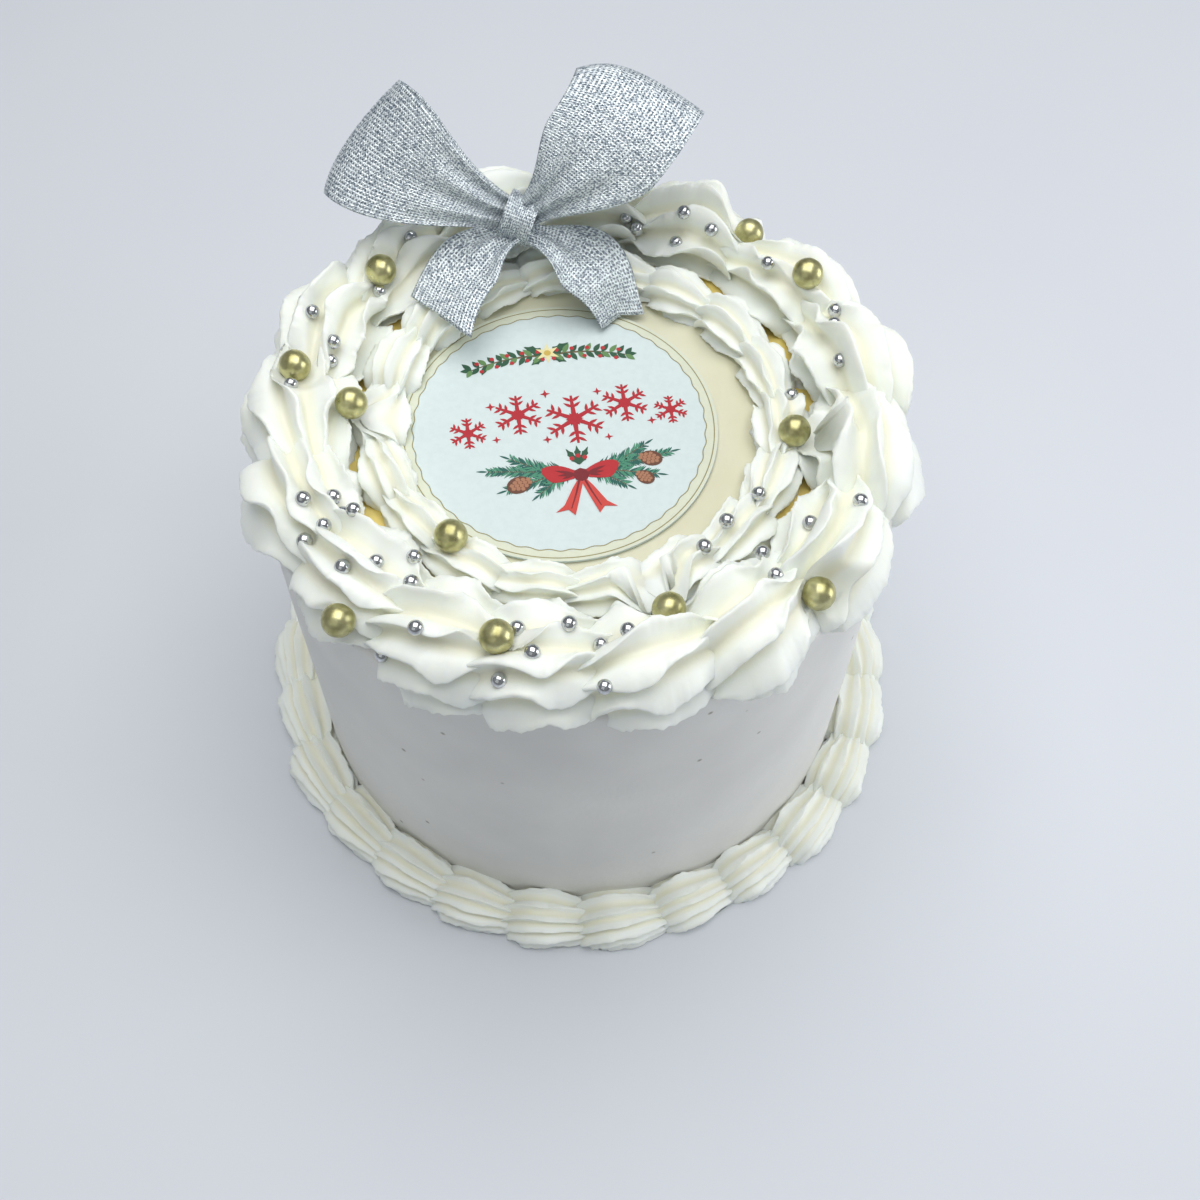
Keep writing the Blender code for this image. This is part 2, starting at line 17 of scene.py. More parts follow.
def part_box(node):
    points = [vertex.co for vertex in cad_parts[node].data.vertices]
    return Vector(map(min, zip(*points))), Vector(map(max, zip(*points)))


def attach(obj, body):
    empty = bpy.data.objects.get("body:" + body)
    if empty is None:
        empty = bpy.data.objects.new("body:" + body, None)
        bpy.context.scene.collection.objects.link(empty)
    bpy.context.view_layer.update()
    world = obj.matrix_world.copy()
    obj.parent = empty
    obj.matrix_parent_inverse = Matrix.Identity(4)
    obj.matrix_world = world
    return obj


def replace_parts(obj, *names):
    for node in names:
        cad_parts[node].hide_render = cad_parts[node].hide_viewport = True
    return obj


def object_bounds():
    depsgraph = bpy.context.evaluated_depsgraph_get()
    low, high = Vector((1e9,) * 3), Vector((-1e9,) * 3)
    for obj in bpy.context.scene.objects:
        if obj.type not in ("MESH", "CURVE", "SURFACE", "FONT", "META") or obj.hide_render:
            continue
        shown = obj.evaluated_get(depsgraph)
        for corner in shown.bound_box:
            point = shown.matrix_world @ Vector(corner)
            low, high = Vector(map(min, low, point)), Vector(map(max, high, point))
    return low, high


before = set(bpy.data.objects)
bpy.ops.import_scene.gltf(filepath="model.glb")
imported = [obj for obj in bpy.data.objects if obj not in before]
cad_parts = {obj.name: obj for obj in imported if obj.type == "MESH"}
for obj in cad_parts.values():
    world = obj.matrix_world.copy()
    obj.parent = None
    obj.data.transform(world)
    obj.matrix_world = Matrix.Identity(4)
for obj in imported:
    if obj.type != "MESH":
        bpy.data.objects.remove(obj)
solid_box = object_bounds()

MM = 0.001
UP = np.array((0.0, 0.0, 1.0))
DOWN = Vector((0.0, 0.0, -1.0))

# Camera, at the photograph's viewing angle
CAMERA_PLACE = (0.0049, -0.2015, 0.3678)
CAMERA_PITCH = math.radians(59.1)
CAMERA_ROLL = math.radians(0.91)
CAMERA_LENS = 45.0
CAMERA_SENSOR = 36.0

# Measures that the solids are built from
CAKE_RADIUS = 0.5 * (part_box("cake_body")[1][0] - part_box("cake_body")[0][0])
CAKE_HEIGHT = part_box("cake_body")[1][2]
HEAD_SHARE = 0.4
TAIL_SHARE = 0.35
UNDERSIDE = 0.75
SWEEP_START = 0.02
SHELL_SEED = 24
OUTER_HEADS = (5, 28, 54, 77, 100, 123, 147, 169, 191, 213, 235, 253, 273, 294, 317, 341)
INNER_COUNT = 18
INNER_FIRST = 9.0
BASE_COUNT = 26
BASE_FIRST = -5.0
# Fins of the shells: how closely points crowd to their edges, how thick an edge is,
# how hollow a fin runs down, how far it leans, and how its length varies
FIN_CROWDING = 1.5
FIN_LIP = 0.12
FIN_HOLLOW = 1.35
FIN_LEAN = -0.1
FIN_LENGTHS = (-0.15, 0.01)
FIN_STRETCH = 1.02
VALLEY_DEEPER = 0.06
POLE_RISE = 0.3
# Waves along a fin's edge, as shares of the shell's length and reach: in its height,
# where the short ones are its teeth, and in its lean, which shifts from fin to fin
RAGGED_WAVES = ((0.45, 0.036), (0.19, 0.016), (0.08, 0.009), (0.043, 0.008))
LONGEST_TOOTH = 0.3
LEAN_WAVES = ((0.6, 0.6), (0.27, 0.25))
LEAN_SHIFT = 1.7
# Rows along a shell and columns for each fin
OUTER_GRID = (80, 16)
INNER_GRID = (48, 11)
BASE_GRID = (40, 8)
# Frosting of the wall: its foot and its rounded top edge, in millimetres
FOOT_BEVEL = 0.8
TOP_ROUNDING = 2.5
WALL_WAVE = 0.12 * MM
# Pearls. A gold one presses the icing down in a socket, in shares of its own radius:
# depth, slope of the walls, where they begin, how far it reaches and fades out
GOLD_COUNT = 11
PEARLS_ON_INNER = (10, 11)
SOCKET_DEPTH = 0.45
SOCKET_SLOPE = 0.8
SOCKET_RIM = 1.1
SOCKET_REACH = 3.2
SOCKET_FADE = 1.6
PEARL_SINK = 0.3
SILVER_RADIUS = 1.65 * MM
# Where the silver pearls lie: degrees round the cake, and over the border from outside
SILVER_ON_OUTER = (
    (11, 134), (19, 121), (24, 110), (42, 133), (59, 134), (66, 128),
    (66, 160), (77, 160), (80, 150), (132, 120), (145, 158), (158, 73),
    (161, 99), (165, 141), (168, 158), (178, 106), (207, 100), (208, 140),
    (211, 155), (213, 116), (213, 63), (215, 135), (224, 89), (224, 157),
    (227, 130), (231, 157), (237, -20), (235, 142), (243, 75), (258, 39), (259, 133),
    (263, 89), (269, 130), (275, 46), (275, 129), (280, 115), (281, 158),
    (312, 125), (315, 157), (327, 143), (335, 93),
)
SILVER_ON_INNER = ((7, 55), (306, 89), (316, 102), (331, 100))
GAP = 0.3 * MM
# Ribbon bow
RIBBON_WIDTH = 26.0 * MM
WOVEN_THICKNESS = 0.2 * MM
RIBBON_COLUMNS = 49
LOOP_ROWS = 110
TAIL_ROWS = 60
KNOT_ROWS = 48
KNOT_COLUMNS = 15
KNOT_BAND_WIDTH = 12.0 * MM
BOW_CENTRE = Vector((-14.6, 45.5, 122.0)) * MM
BOW_TILT = math.radians(48)
LOOP_ANGLES = {"left": math.radians(154), "right": math.radians(46)}
LOOP_LENGTHS = {"left": 39.4 * MM, "right": 40.2 * MM}
LOOP_SKEWS = {"left": 0.2, "right": -0.34}
# Half width of each loop at its far end, the share of its length over which it
# widens, and how far it sags sideways halfway along
LOOP_HALVES = {"left": 14.5 * MM, "right": 13.2 * MM}
LOOP_FILLS = {"left": 0.95, "right": 0.62}
LOOP_SAGS = {"left": 2.0 * MM, "right": -3.2 * MM}
LOOP_BULGE = 8.0 * MM
# How far a loop's far end bows out, and how far its upper corner is rounded off
LOOP_BOWING = 1.6 * MM
LOOP_ROUNDING = {"left": 0.8 * MM, "right": 4.4 * MM}
LOOP_NECK = 0.24
# Pleats, in height: of a gathered loop or tail, and the slack waves further out
LOOP_PLEAT = 0.9 * MM
LOOP_SLACK = 0.45 * MM
LOOP_EDGE_WAVE = 0.5 * MM
TAIL_PLEAT = 0.8 * MM
TAIL_SLACK = 0.35 * MM
KNOT_PLEAT = 0.22 * MM
# Plan of each tail: middle line and half width at the knot, halfway and at the end,
# how far its end slants and how deep its end is notched
TAIL_LINES = {
    "left": ((-15.0, 43.0), (-28.5, 38.5), (-31.5, 23.5)),
    "right": ((-13.0, 43.0), (2.7, 42.0), (9.1, 29.3)),
}
TAIL_HALVES = {"left": (3.4, 8.6, 8.2), "right": (3.4, 9.5, 5.6)}
TAIL_SLANTS = {"left": 4.5, "right": 0.0}
TAIL_NOTCHES = {"left": 0.0, "right": 2.0}
# Height of a tail at the knot, and how far it stays above the icing
TAIL_START = 119.5 * MM
TAIL_CLEAR = 0.9 * MM
# Steps at which a tail's height over the icing is found
TAIL_STEPS = 24
TAIL_PROBES = (-1.0, -0.75, -0.5, -0.25, 0.0, 0.25, 0.5, 0.75, 1.0)
RAY_START = 0.2
# The breadth beyond which a tail's edge is folded under, and how far below it lies
TAIL_FOLD = 0.3
TAIL_UNDER = 0.7 * MM
KNOT_RADIUS = 4.2 * MM
KNOT_LEAN = math.radians(-20)
TIE_WIDTH = 7.0 * MM
TIE_THICKNESS = 1.0 * MM

# The print, measured from its solid, and its inks, which lie a hair above it
PRINT_LOW, PRINT_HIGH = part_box("print_disc")
PRINT_X = 0.5 * (PRINT_LOW[0] + PRINT_HIGH[0])
PRINT_Y = 0.5 * (PRINT_LOW[1] + PRINT_HIGH[1])
PRINT_RADIUS = 0.5 * (PRINT_HIGH[0] - PRINT_LOW[0])
PRINT_TOP = PRINT_HIGH[2]
PRINT_TURN = math.radians(9)
INK_STEP = 0.015 * MM
# Shapes of one ink that overlap lie a hair apart as well
INK_SHEETS = 11
INK_SHEET = 0.0012 * MM
# Snowflakes and sparks across the middle of the print: place and size in millimetres
FLAKES = ((-20.0, 1.0, 4.2), (-8.6, 4.6, 5.4), (3.6, 1.8, 6.6), (15.2, 4.8, 5.2), (25.0, 1.6, 3.8))
DOTS = (
    (-14.4, 7.6, 1.2), (-14.0, -1.6, 1.0), (-3.0, -3.0, 1.1), (-2.0, 9.6, 1.2),
    (9.6, 8.8, 1.1), (20.4, -0.8, 1.1), (10.4, -4.0, 1.0),
)
DISC_STEPS = 180
# Radii of the print's ring and wavy line, as shares of the disc's
RIM_SHARES = (0.925, 0.998)
RING_SHARES = (0.973, 0.980)
WAVY_SHARES = (0.919, 0.926)
WAVY_SIZE = 0.006
WAVY_COUNT = 44
# Places on the print, in millimetres from its middle
BLOSSOM_PLACE = (0.0, 21.2)
GARLAND_HEIGHT = 20.6
GARLAND_LENGTH = 17.5
SPRAY_MIDDLE = 3.0
SPRAY_HEIGHT = -12.2
# Fir twigs on each side of the spray: slant in degrees, length and distance from the middle
FIR_TWIGS = ((8, 17.0, 3.0), (-14, 12.5, 4.0), (30, 10.0, 6.0), (-38, 8.0, 3.0))
# Cones: place, size and heading in degrees
CONES = (((-10.6, -14.2), 2.7, 200), ((18.6, -11.0), 2.5, -20), ((16.6, -15.8), 2.1, -40))
# Outline of the printed bow's tail from its knot
BOW_TAIL = (
    (0.2, 0.0), (2.2, -3.0), (4.6, -7.4), (6.6, -9.0),
    (3.9, -8.6), (2.6, -10.2), (1.2, -6.0), (-0.4, -1.0),
)


def linear(red, green, blue):
    """A colour given as seen, from 0 to 255, turned into scene values."""
    values = []
    for part in (red, green, blue):
        share = part / 255.0
        values.append(share / 12.92 if share <= 0.04045 else ((share + 0.055) / 1.055) ** 2.4)
    return (*values, 1.0)


class Nodes:
    """A material and short ways to add nodes to it."""

    def __init__(self, name, colour, roughness, metallic=0.0):
        self.material = bpy.data.materials.new(name)
        self.material.use_nodes = True
        self.tree = self.material.node_tree
        self.shader = self.tree.nodes["Principled BSDF"]
        self.shader.inputs["Base Color"].default_value = colour
        self.shader.inputs["Roughness"].default_value = roughness
        self.shader.inputs["Metallic"].default_value = metallic

    def add(self, kind, **values):
        node = self.tree.nodes.new(kind)
        for key, value in values.items():
            setattr(node, key, value)
        return node

    def link(self, source, target):
        self.tree.links.new(source, target)

    def noise(self, scale, detail=3.0, place="Object"):
        coordinates = self.add("ShaderNodeTexCoord")
        texture = self.add("ShaderNodeTexNoise")
        texture.inputs["Scale"].default_value = scale
        texture.inputs["Detail"].default_value = detail
        self.link(coordinates.outputs[place], texture.inputs["Vector"])
        return texture.outputs["Fac"]

    def blend(self, factor, low, high, from_low=0.0, from_high=1.0):
        """A colour ramp between two colours, driven by a factor."""
        ramp = self.add("ShaderNodeValToRGB")
        ramp.color_ramp.elements[0].position = from_low
        ramp.color_ramp.elements[0].color = low
        ramp.color_ramp.elements[1].position = from_high
        ramp.color_ramp.elements[1].color = high
        self.link(factor, ramp.inputs["Fac"])
        return ramp.outputs["Color"]

    def mix(self, factor, first, second, way="MIX"):
        node = self.add("ShaderNodeMix", data_type="RGBA", blend_type=way)
        if isinstance(factor, float):
            node.inputs[0].default_value = factor
        else:
            self.link(factor, node.inputs[0])
        self.link(first, node.inputs[6])
        self.link(second, node.inputs[7])
        return node.outputs[2]

    def bump(self, height, strength, distance):
        node = self.add("ShaderNodeBump")
        node.inputs["Strength"].default_value = strength
        node.inputs["Distance"].default_value = distance
        self.link(height, node.inputs["Height"])
        self.link(node.outputs["Normal"], self.shader.inputs["Normal"])

    def colour(self, output):
        self.link(output, self.shader.inputs["Base Color"])

    def soften(self, weight, radius):
        """Lets light a little way into the icing."""
        self.shader.inputs["Subsurface Weight"].default_value = weight
        self.shader.inputs["Subsurface Radius"].default_value = radius
        self.shader.inputs["Subsurface Scale"].default_value = 0.003

    def spread(self, source, from_low, from_high, low=0.0, high=1.0):
        """A value moved from one range to another, and kept in it."""
        node = self.add("ShaderNodeMapRange")
        node.inputs["From Min"].default_value = from_low
        node.inputs["From Max"].default_value = from_high
        node.inputs["To Min"].default_value = low
        node.inputs["To Max"].default_value = high
        self.link(source, node.inputs["Value"])
        return node.outputs["Result"]

    def combine(self, operation, first, second):
        node = self.add("ShaderNodeMath", operation=operation)
        self.link(first, node.inputs[0])
        self.link(second, node.inputs[1])
        return node.outputs[0]


def buttercream():
    """Ivory buttercream, with painted shade that makes it deeper in colour in its creases, and painted
    light that makes it paler on its fins.
    """
    made = Nodes("buttercream", linear(243, 241, 228), 0.42)
    attribute = made.add("ShaderNodeAttribute", attribute_name="rise")
    # Painted shade: by how far each point rises, the creases are darker and yellower and the fins lighter
    painted_crease_shade = made.blend(attribute.outputs["Fac"], linear(243, 241, 224), linear(249, 252, 247), 0.0, 0.4)
    cloud = made.blend(made.noise(60.0), linear(244, 246, 238), linear(251, 254, 251), 0.35, 0.65)
    made.colour(made.mix(0.5, painted_crease_shade, cloud, "MULTIPLY"))
    made.bump(made.noise(900.0, 4.0), 0.12, 0.0004)
    made.soften(0.25, (1.0, 0.85, 0.5))
    made.shader.inputs["Specular IOR Level"].default_value = 0.45
    return made.material


def frosting():
    """The smoothed side: cool white, faintly mottled, with fine drag marks, and small dark specks of
    painted shade for its pits.
    """
    made = Nodes("frosting", linear(238, 238, 240), 0.55)
    cloud = made.blend(made.noise(28.0, 5.0), linear(222, 221, 218), linear(234, 233, 229), 0.3, 0.7)
    # Painted shade: small dark specks stand for the shade inside pits of the side
    cells = made.add("ShaderNodeTexVoronoi", feature="F1")
    cells.inputs["Scale"].default_value = 95.0
    made.link(made.add("ShaderNodeTexCoord").outputs["Object"], cells.inputs["Vector"])
    distance = cells.outputs["Distance"]
    pit_shade_specks = made.blend(distance, linear(176, 172, 160), linear(255, 255, 255), 0.035, 0.075)
    made.colour(made.mix(1.0, cloud, pit_shade_specks, "MULTIPLY"))
    dragged = made.blend(made.noise(26.0, 2.0), (0, 0, 0, 1), (1, 1, 1, 1), 0.42, 0.62)
    made.bump(made.combine("MULTIPLY", made.noise(700.0, 5.0), dragged), 0.35, 0.0005)
    made.soften(0.15, (1.0, 0.9, 0.8))
    return made.material


def cream_top():
    """The top: the same cream, yellower round the print, and amber under the outer shells, where its yellow
    is deepened by painted shade of the crevices.
    """
    made = Nodes("cream_top", linear(222, 219, 194), 0.5)
    cloud = made.blend(made.noise(45.0, 4.0), linear(214, 210, 182), linear(224, 223, 200), 0.3, 0.7)
    flat = made.add("ShaderNodeVectorMath", operation="MULTIPLY")
    flat.inputs[1].default_value = (1.0, 1.0, 0.0)
    made.link(made.add("ShaderNodeTexCoord").outputs["Object"], flat.inputs[0])
    reach = made.add("ShaderNodeVectorMath", operation="LENGTH")
    made.link(flat.outputs["Vector"], reach.inputs[0])
    # Painted shade: from 44 to 48 mm out the cream turns amber, the yellow it shows in the shade between
    # the shells
    outside = made.spread(reach.outputs["Value"], 0.044, 0.048)
    amber_in_shade = made.blend(made.noise(80.0), linear(248, 220, 120), linear(250, 230, 150))
    made.colour(made.mix(outside, cloud, amber_in_shade))
    made.bump(made.noise(600.0, 5.0), 0.1, 0.0005)
    made.soften(0.2, (1.0, 0.85, 0.5))
    return made.material


def paper(name, colour):
    """Sugar paper: matte, with a fine even grain."""
    made = Nodes(name, colour, 0.6)
    darker = tuple(0.965 * part for part in colour[:3]) + (1.0,)
    made.colour(made.blend(made.noise(700.0, 2.0), darker, colour, 0.35, 0.6))
    made.bump(made.noise(1500.0, 2.0), 0.05, 0.0002)
    return made.material


def gold_sugar():
    """Gold coating on sugar, with worn and darker patches."""
    made = Nodes("gold_sugar", linear(176, 168, 104), 0.3, 0.85)
    patches = made.blend(made.noise(350.0, 4.0), linear(150, 145, 92), linear(216, 212, 162), 0.3, 0.7)
    made.colour(patches)
    rough = made.blend(made.noise(500.0, 3.0), (0.2, 0.2, 0.2, 1.0), (0.42, 0.42, 0.42, 1.0))
    made.link(rough, made.shader.inputs["Roughness"])
    made.bump(made.noise(500.0, 3.0), 0.15, 0.0003)
    return made.material


def silver_sugar():
    """Bright silver coating on sugar."""
    made = Nodes("silver_sugar", linear(205, 207, 210), 0.14, 1.0)
    patches = made.blend(made.noise(900.0, 3.0), linear(176, 178, 182), linear(225, 227, 230), 0.3, 0.7)
    made.colour(patches)
    made.bump(made.noise(900.0, 3.0), 0.08, 0.0002)
    return made.material


def silver_mesh():
    """Woven ribbon of metal thread: threads across and along it, small gaps, and glitter as painted glints
    that brighten some grains and dull others.
    """
    made = Nodes("silver_mesh", linear(205, 211, 218), 0.36, 0.42)
    coordinates = made.add("ShaderNodeTexCoord")
    split = made.add("ShaderNodeSeparateXYZ")
    made.link(coordinates.outputs["UV"], split.inputs["Vector"])
    waves = []
    for axis, pitch in (("X", 0.85), ("Y", 0.7)):
        scaled = made.add("ShaderNodeMath", operation="MULTIPLY")
        scaled.inputs[1].default_value = math.tau / pitch
        made.link(split.outputs[axis], scaled.inputs[0])
        wave = made.add("ShaderNodeMath", operation="COSINE")
        made.link(scaled.outputs[0], wave.inputs[0])
        waves.append(wave.outputs[0])
    threads = made.spread(made.combine("MAXIMUM", *waves), -1.0, 1.0)
    grains = made.add("ShaderNodeTexVoronoi", feature="F1")
    grains.inputs["Scale"].default_value = 2.6
    made.link(coordinates.outputs["UV"], grains.inputs["Vector"])
    # Painted highlights: each grain gets a random brightness that stands for its glint
    painted_glints = made.blend(grains.outputs["Color"], linear(146, 158, 170), linear(244, 252, 255), 0.2, 0.62)
    shade = made.blend(threads, linear(150, 158, 172), linear(255, 255, 255), 0.15, 0.75)
    made.colour(made.mix(1.0, painted_glints, shade, "MULTIPLY"))
    made.link(made.spread(threads, 0.12, 0.3, 0.2, 1.0), made.shader.inputs["Alpha"])
    made.bump(made.combine("ADD", threads, grains.outputs["Distance"]), 0.6, 0.0002)
    return made.material


def piece(name, mesh, finish):
    """A mesh put into the scene as a smooth piece of the cake."""
    mesh.materials.append(finish)
    mesh.shade_smooth()
    obj = bpy.data.objects.new(name, mesh)
    bpy.context.scene.collection.objects.link(obj)
    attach(obj, "root")
    return obj


def mesh_object(name, points, faces, finish, rise=None, sides=None):
    """A piece from arrays and, where given, with its rise and UVs."""
    mesh = bpy.data.meshes.new(name)
    mesh.from_pydata([tuple(point) for point in points], [], faces)
    if rise is not None:
        attribute = mesh.attributes.new("rise", "FLOAT", "POINT")
        attribute.data.foreach_set("value", np.asarray(rise, dtype=np.float32))
    if sides is not None:
        layer = mesh.uv_layers.new(name="flat")
        corners = np.empty(len(mesh.loops), dtype=np.int32)
        mesh.loops.foreach_get("vertex_index", corners)
        layer.data.foreach_set("uv", np.asarray(sides, dtype=np.float32)[corners].ravel())
    return piece(name, mesh, finish)


def grid_faces(rows, columns, closed, start=0):
    """Quads of a grid of points, closed round its columns or not."""
    faces = []
    last = columns if closed else columns - 1
    for row in range(rows - 1):
        for column in range(last):
            after = (column + 1) % columns
            here = start + row * columns
            above = here + columns
            faces.append((here + column, here + after, above + after, above + column))
    return faces


class Border:
    """The measures that the shells of one border share, lengths in millimetres.

    way is 1 where the border is piped anticlockwise, seen from above. valley is how far out
    its creases lie, as a share of the fins' reach, and curl how far its fins sway. slant is
    how far a shell's tail runs inwards, droop how far its outer side sags, and inward by how
    much its inner side is wider. blunt is how steep a shell's head rises, and teeth how
    ragged its fins are.
    """

    def __init__(
        self, way, radius, seat, reach, length, fins, valley, curl,
        slant=0.0, droop=0.0, inward=1.0, blunt=0.6, teeth=1.0,
    ):
        self.way = way
        self.radius = radius * MM
        self.seat = seat
        self.reach = reach * MM
        self.length = length * MM
        self.fins = fins
        self.valley = valley
        self.curl = curl
        self.slant = slant * MM
        self.droop = droop * MM
        self.inward = inward
        self.blunt = blunt
        self.teeth = teeth


# The borders have more and finer fins than the solids. Where inward is over 1, their
# inner side closes the gap to what they lean on.
OUTER = Border(1, 63.9, CAKE_HEIGHT, 13.6, 35.0, 10, 0.62, 0.25, slant=4.0, droop=6.0, inward=1.14)
INNER = Border(-1, 43.9, CAKE_HEIGHT, 7.2, 21.0, 9, 0.68, 0.16, teeth=1.3)
BASE = Border(1, 77.6, 0.0, 7.3, 25.0, 13, 0.78, 0.06, inward=1.6, blunt=0.42, teeth=1.5)


class Shell:
    """A piped shell: a fluted sweep that rises out of the icing and runs along its border."""

    def __init__(self, border, head, rng):
        self.border = border
        self.head = math.radians(head)
        self.radius = border.radius * rng.uniform(0.99, 1.01)
        self.reach = border.reach * rng.uniform(0.94, 1.04)
        self.length = border.length * rng.uniform(0.95, 1.06)
        self.bend = 0.85 * self.reach
        self.lift = 0.35 * self.reach
        self.phase = rng.uniform(0.0, 1.0)
        self.twist = math.radians(rng.uniform(10.0, 30.0)) * border.way

    def sections(self, shares):
        """Centres, outward, upward directions and tip radii at shares of the length."""
        way = self.border.way
        turn = 0.5 * math.pi * np.minimum(shares / HEAD_SHARE, 1.0)
        run = np.clip((shares - HEAD_SHARE) / (1.0 - HEAD_SHARE), 0.0, 1.0)
        in_head = shares <= HEAD_SHARE
        head_height = self.lift - self.bend * (1.0 - np.sin(turn))
        head_ahead = self.bend * (1.0 - np.cos(turn))
        ahead = np.where(in_head, head_ahead, self.bend + (self.length - self.bend) * run)
        height = np.where(in_head, head_height, self.lift * (1.0 - 0.8 * run**1.5))
        head_tip = self.reach * np.sin(turn) ** self.border.blunt
        tip = np.where(in_head, head_tip, self.reach * (1.0 - (1.0 - TAIL_SHARE) * run**1.4))
        radius = self.radius - self.border.slant * shares
        angle = self.head + way * ahead / self.radius
        outward = np.stack((np.cos(angle), np.sin(angle), np.zeros_like(angle)), axis=1)
        along = np.cross(UP, outward) * way
        centre = outward * radius[:, None] + UP * (self.border.seat + height)[:, None]
        upward = UP * np.sin(turn)[:, None] - along * np.cos(turn)[:, None]
        return centre, outward, upward, tip

    def surface(self, rows, per_fin, rng):
        """Points of the skin and how far each rises from crease to fin."""
        fins = self.border.fins
        shares = np.linspace(SWEEP_START, 1.0, rows)
        centre, outward, upward, tip = self.sections(shares)
        number = np.repeat(np.arange(fins), per_fin)[None, :]
        step = np.tile((np.arange(per_fin) + 0.5) / per_fin - 0.5, fins)[None, :]
        aside = 0.5 * np.sign(step) * np.abs(2.0 * step) ** FIN_CROWDING
        along = shares[:, None] + 0.0 * aside
        angle = (number + aside - self.phase) * math.tau / fins + self.twist * along
        slope = np.abs(np.sin(math.pi * aside)) + 0.0 * along
        fin = (1.0 - np.clip((slope - FIN_LIP) / (1.0 - FIN_LIP), 0.0, 1.0)) ** FIN_HOLLOW
        edge = fin**1.5
        lengths = np.array([rng.uniform(*FIN_LENGTHS) for _fin in range(fins)])
        waves = np.zeros_like(angle)
        for index in range(fins):
            wave = np.zeros_like(along)
            for pitch, size in RAGGED_WAVES:
                start = rng.uniform(0.0, math.tau)
                teeth = self.border.teeth if pitch < LONGEST_TOOTH else 1.0
                period = pitch * rng.uniform(0.8, 1.2)
                wave += teeth * size * np.sin(math.tau * along / period + start)
            waves = np.where(number == index, lengths[index] + wave, waves)
        lean = np.zeros_like(angle)
        for pitch, size in LEAN_WAVES:
            start = rng.uniform(0.0, math.tau)
            lean += size * np.sin(math.tau * along / pitch + start + LEAN_SHIFT * number)
        valley = self.border.valley - VALLEY_DEEPER
        distance = tip[:, None] * (valley + (1.0 - valley) * fin * FIN_STRETCH + waves * edge)
        bent = angle + edge * (lean * self.border.curl + FIN_LEAN)
        across = distance * np.cos(bent)
        across = np.where(across < 0.0, across * self.border.inward, across)
        tall = distance * np.sin(bent)
        tall = np.where(tall < 0.0, tall * UNDERSIDE, tall)
        droop = self.border.droop * (np.maximum(across, 0.0) / self.border.reach) ** 2
        points = (
            centre[:, None, :]
            + outward[:, None, :] * across[..., None]
            + upward[:, None, :] * tall[..., None]
            - UP * droop[..., None]
        )
        return points, fin


def sockets():
    """Where each gold pearl is pressed in: its middle, the way out of the icing and its radius."""
    found = []
    for number in range(1, GOLD_COUNT + 1):
        low, high = [np.array(corner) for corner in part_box(f"gold_pearl_{number:02d}")]
        centre = 0.5 * (low + high)
        border = INNER if number in PEARLS_ON_INNER else OUTER
        flat = np.array((centre[0], centre[1], 0.0))
        middle = flat / np.linalg.norm(flat) * border.radius + UP * (border.seat + 0.35 * border.reach)
        aim = (centre - middle) / np.linalg.norm(centre - middle)
        found.append((centre, aim, 0.5 * (high[0] - low[0])))
    return found


def press(points, pressed):
    """Pushes icing down round each pearl, so that no fin runs over one."""
    for centre, aim, radius in pressed:
        apart = points - centre
        height = apart @ aim
        aside = np.linalg.norm(apart - height[:, None] * aim, axis=1)
        limit = -SOCKET_DEPTH * radius + SOCKET_SLOPE * np.maximum(aside - SOCKET_RIM * radius, 0.0)
        share = np.clip((SOCKET_REACH * radius - aside) / (SOCKET_FADE * radius), 0.0, 1.0)
        share = share * share * (3.0 - 2.0 * share)
        high = (height > limit) & (height < 3.0 * radius)
        points[high] -= (share * (height - limit))[high, None] * aim


def shell_piece(name, shells, grid, finish, pressed, nodes, rng, floor=None):
    """One piece of piped shells, standing for its nodes, with rows and columns by its grid."""
    points = []
    faces = []
    rise = []
    rows, per_fin = grid
    columns = per_fin * shells[0].border.fins
    low, high = [np.array(corner[:2]) for corner in solid_box]
    for shell in shells:
        skin, fin = shell.surface(rows, per_fin, rng)
        start = len(points)
        flat = skin.reshape(-1, 3)
        press(flat, pressed)
        flat[:, :2] = np.clip(flat[:, :2], low, high)
        if floor is not None:
            flat[:, 2] = np.maximum(flat[:, 2], floor)
        points.extend(flat)
        rise.extend(fin.ravel())
        faces += grid_faces(rows, columns, True, start)
        for row in (0, rows - 1):
            pole = len(points)
            ring = flat[row * columns : (row + 1) * columns]
            points.append(ring.mean(axis=0))
            rise.append(POLE_RISE)
            first = start + row * columns
            for column in range(columns):
                faces.append((first + column, first + (column + 1) % columns, pole))
    obj = mesh_object(name, points, faces, finish, rise=rise)
    work = bmesh.new()
    work.from_mesh(obj.data)
    bmesh.ops.recalc_face_normals(work, faces=work.faces)
    work.to_mesh(obj.data)
    work.free()
    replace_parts(obj, *nodes)
    return obj


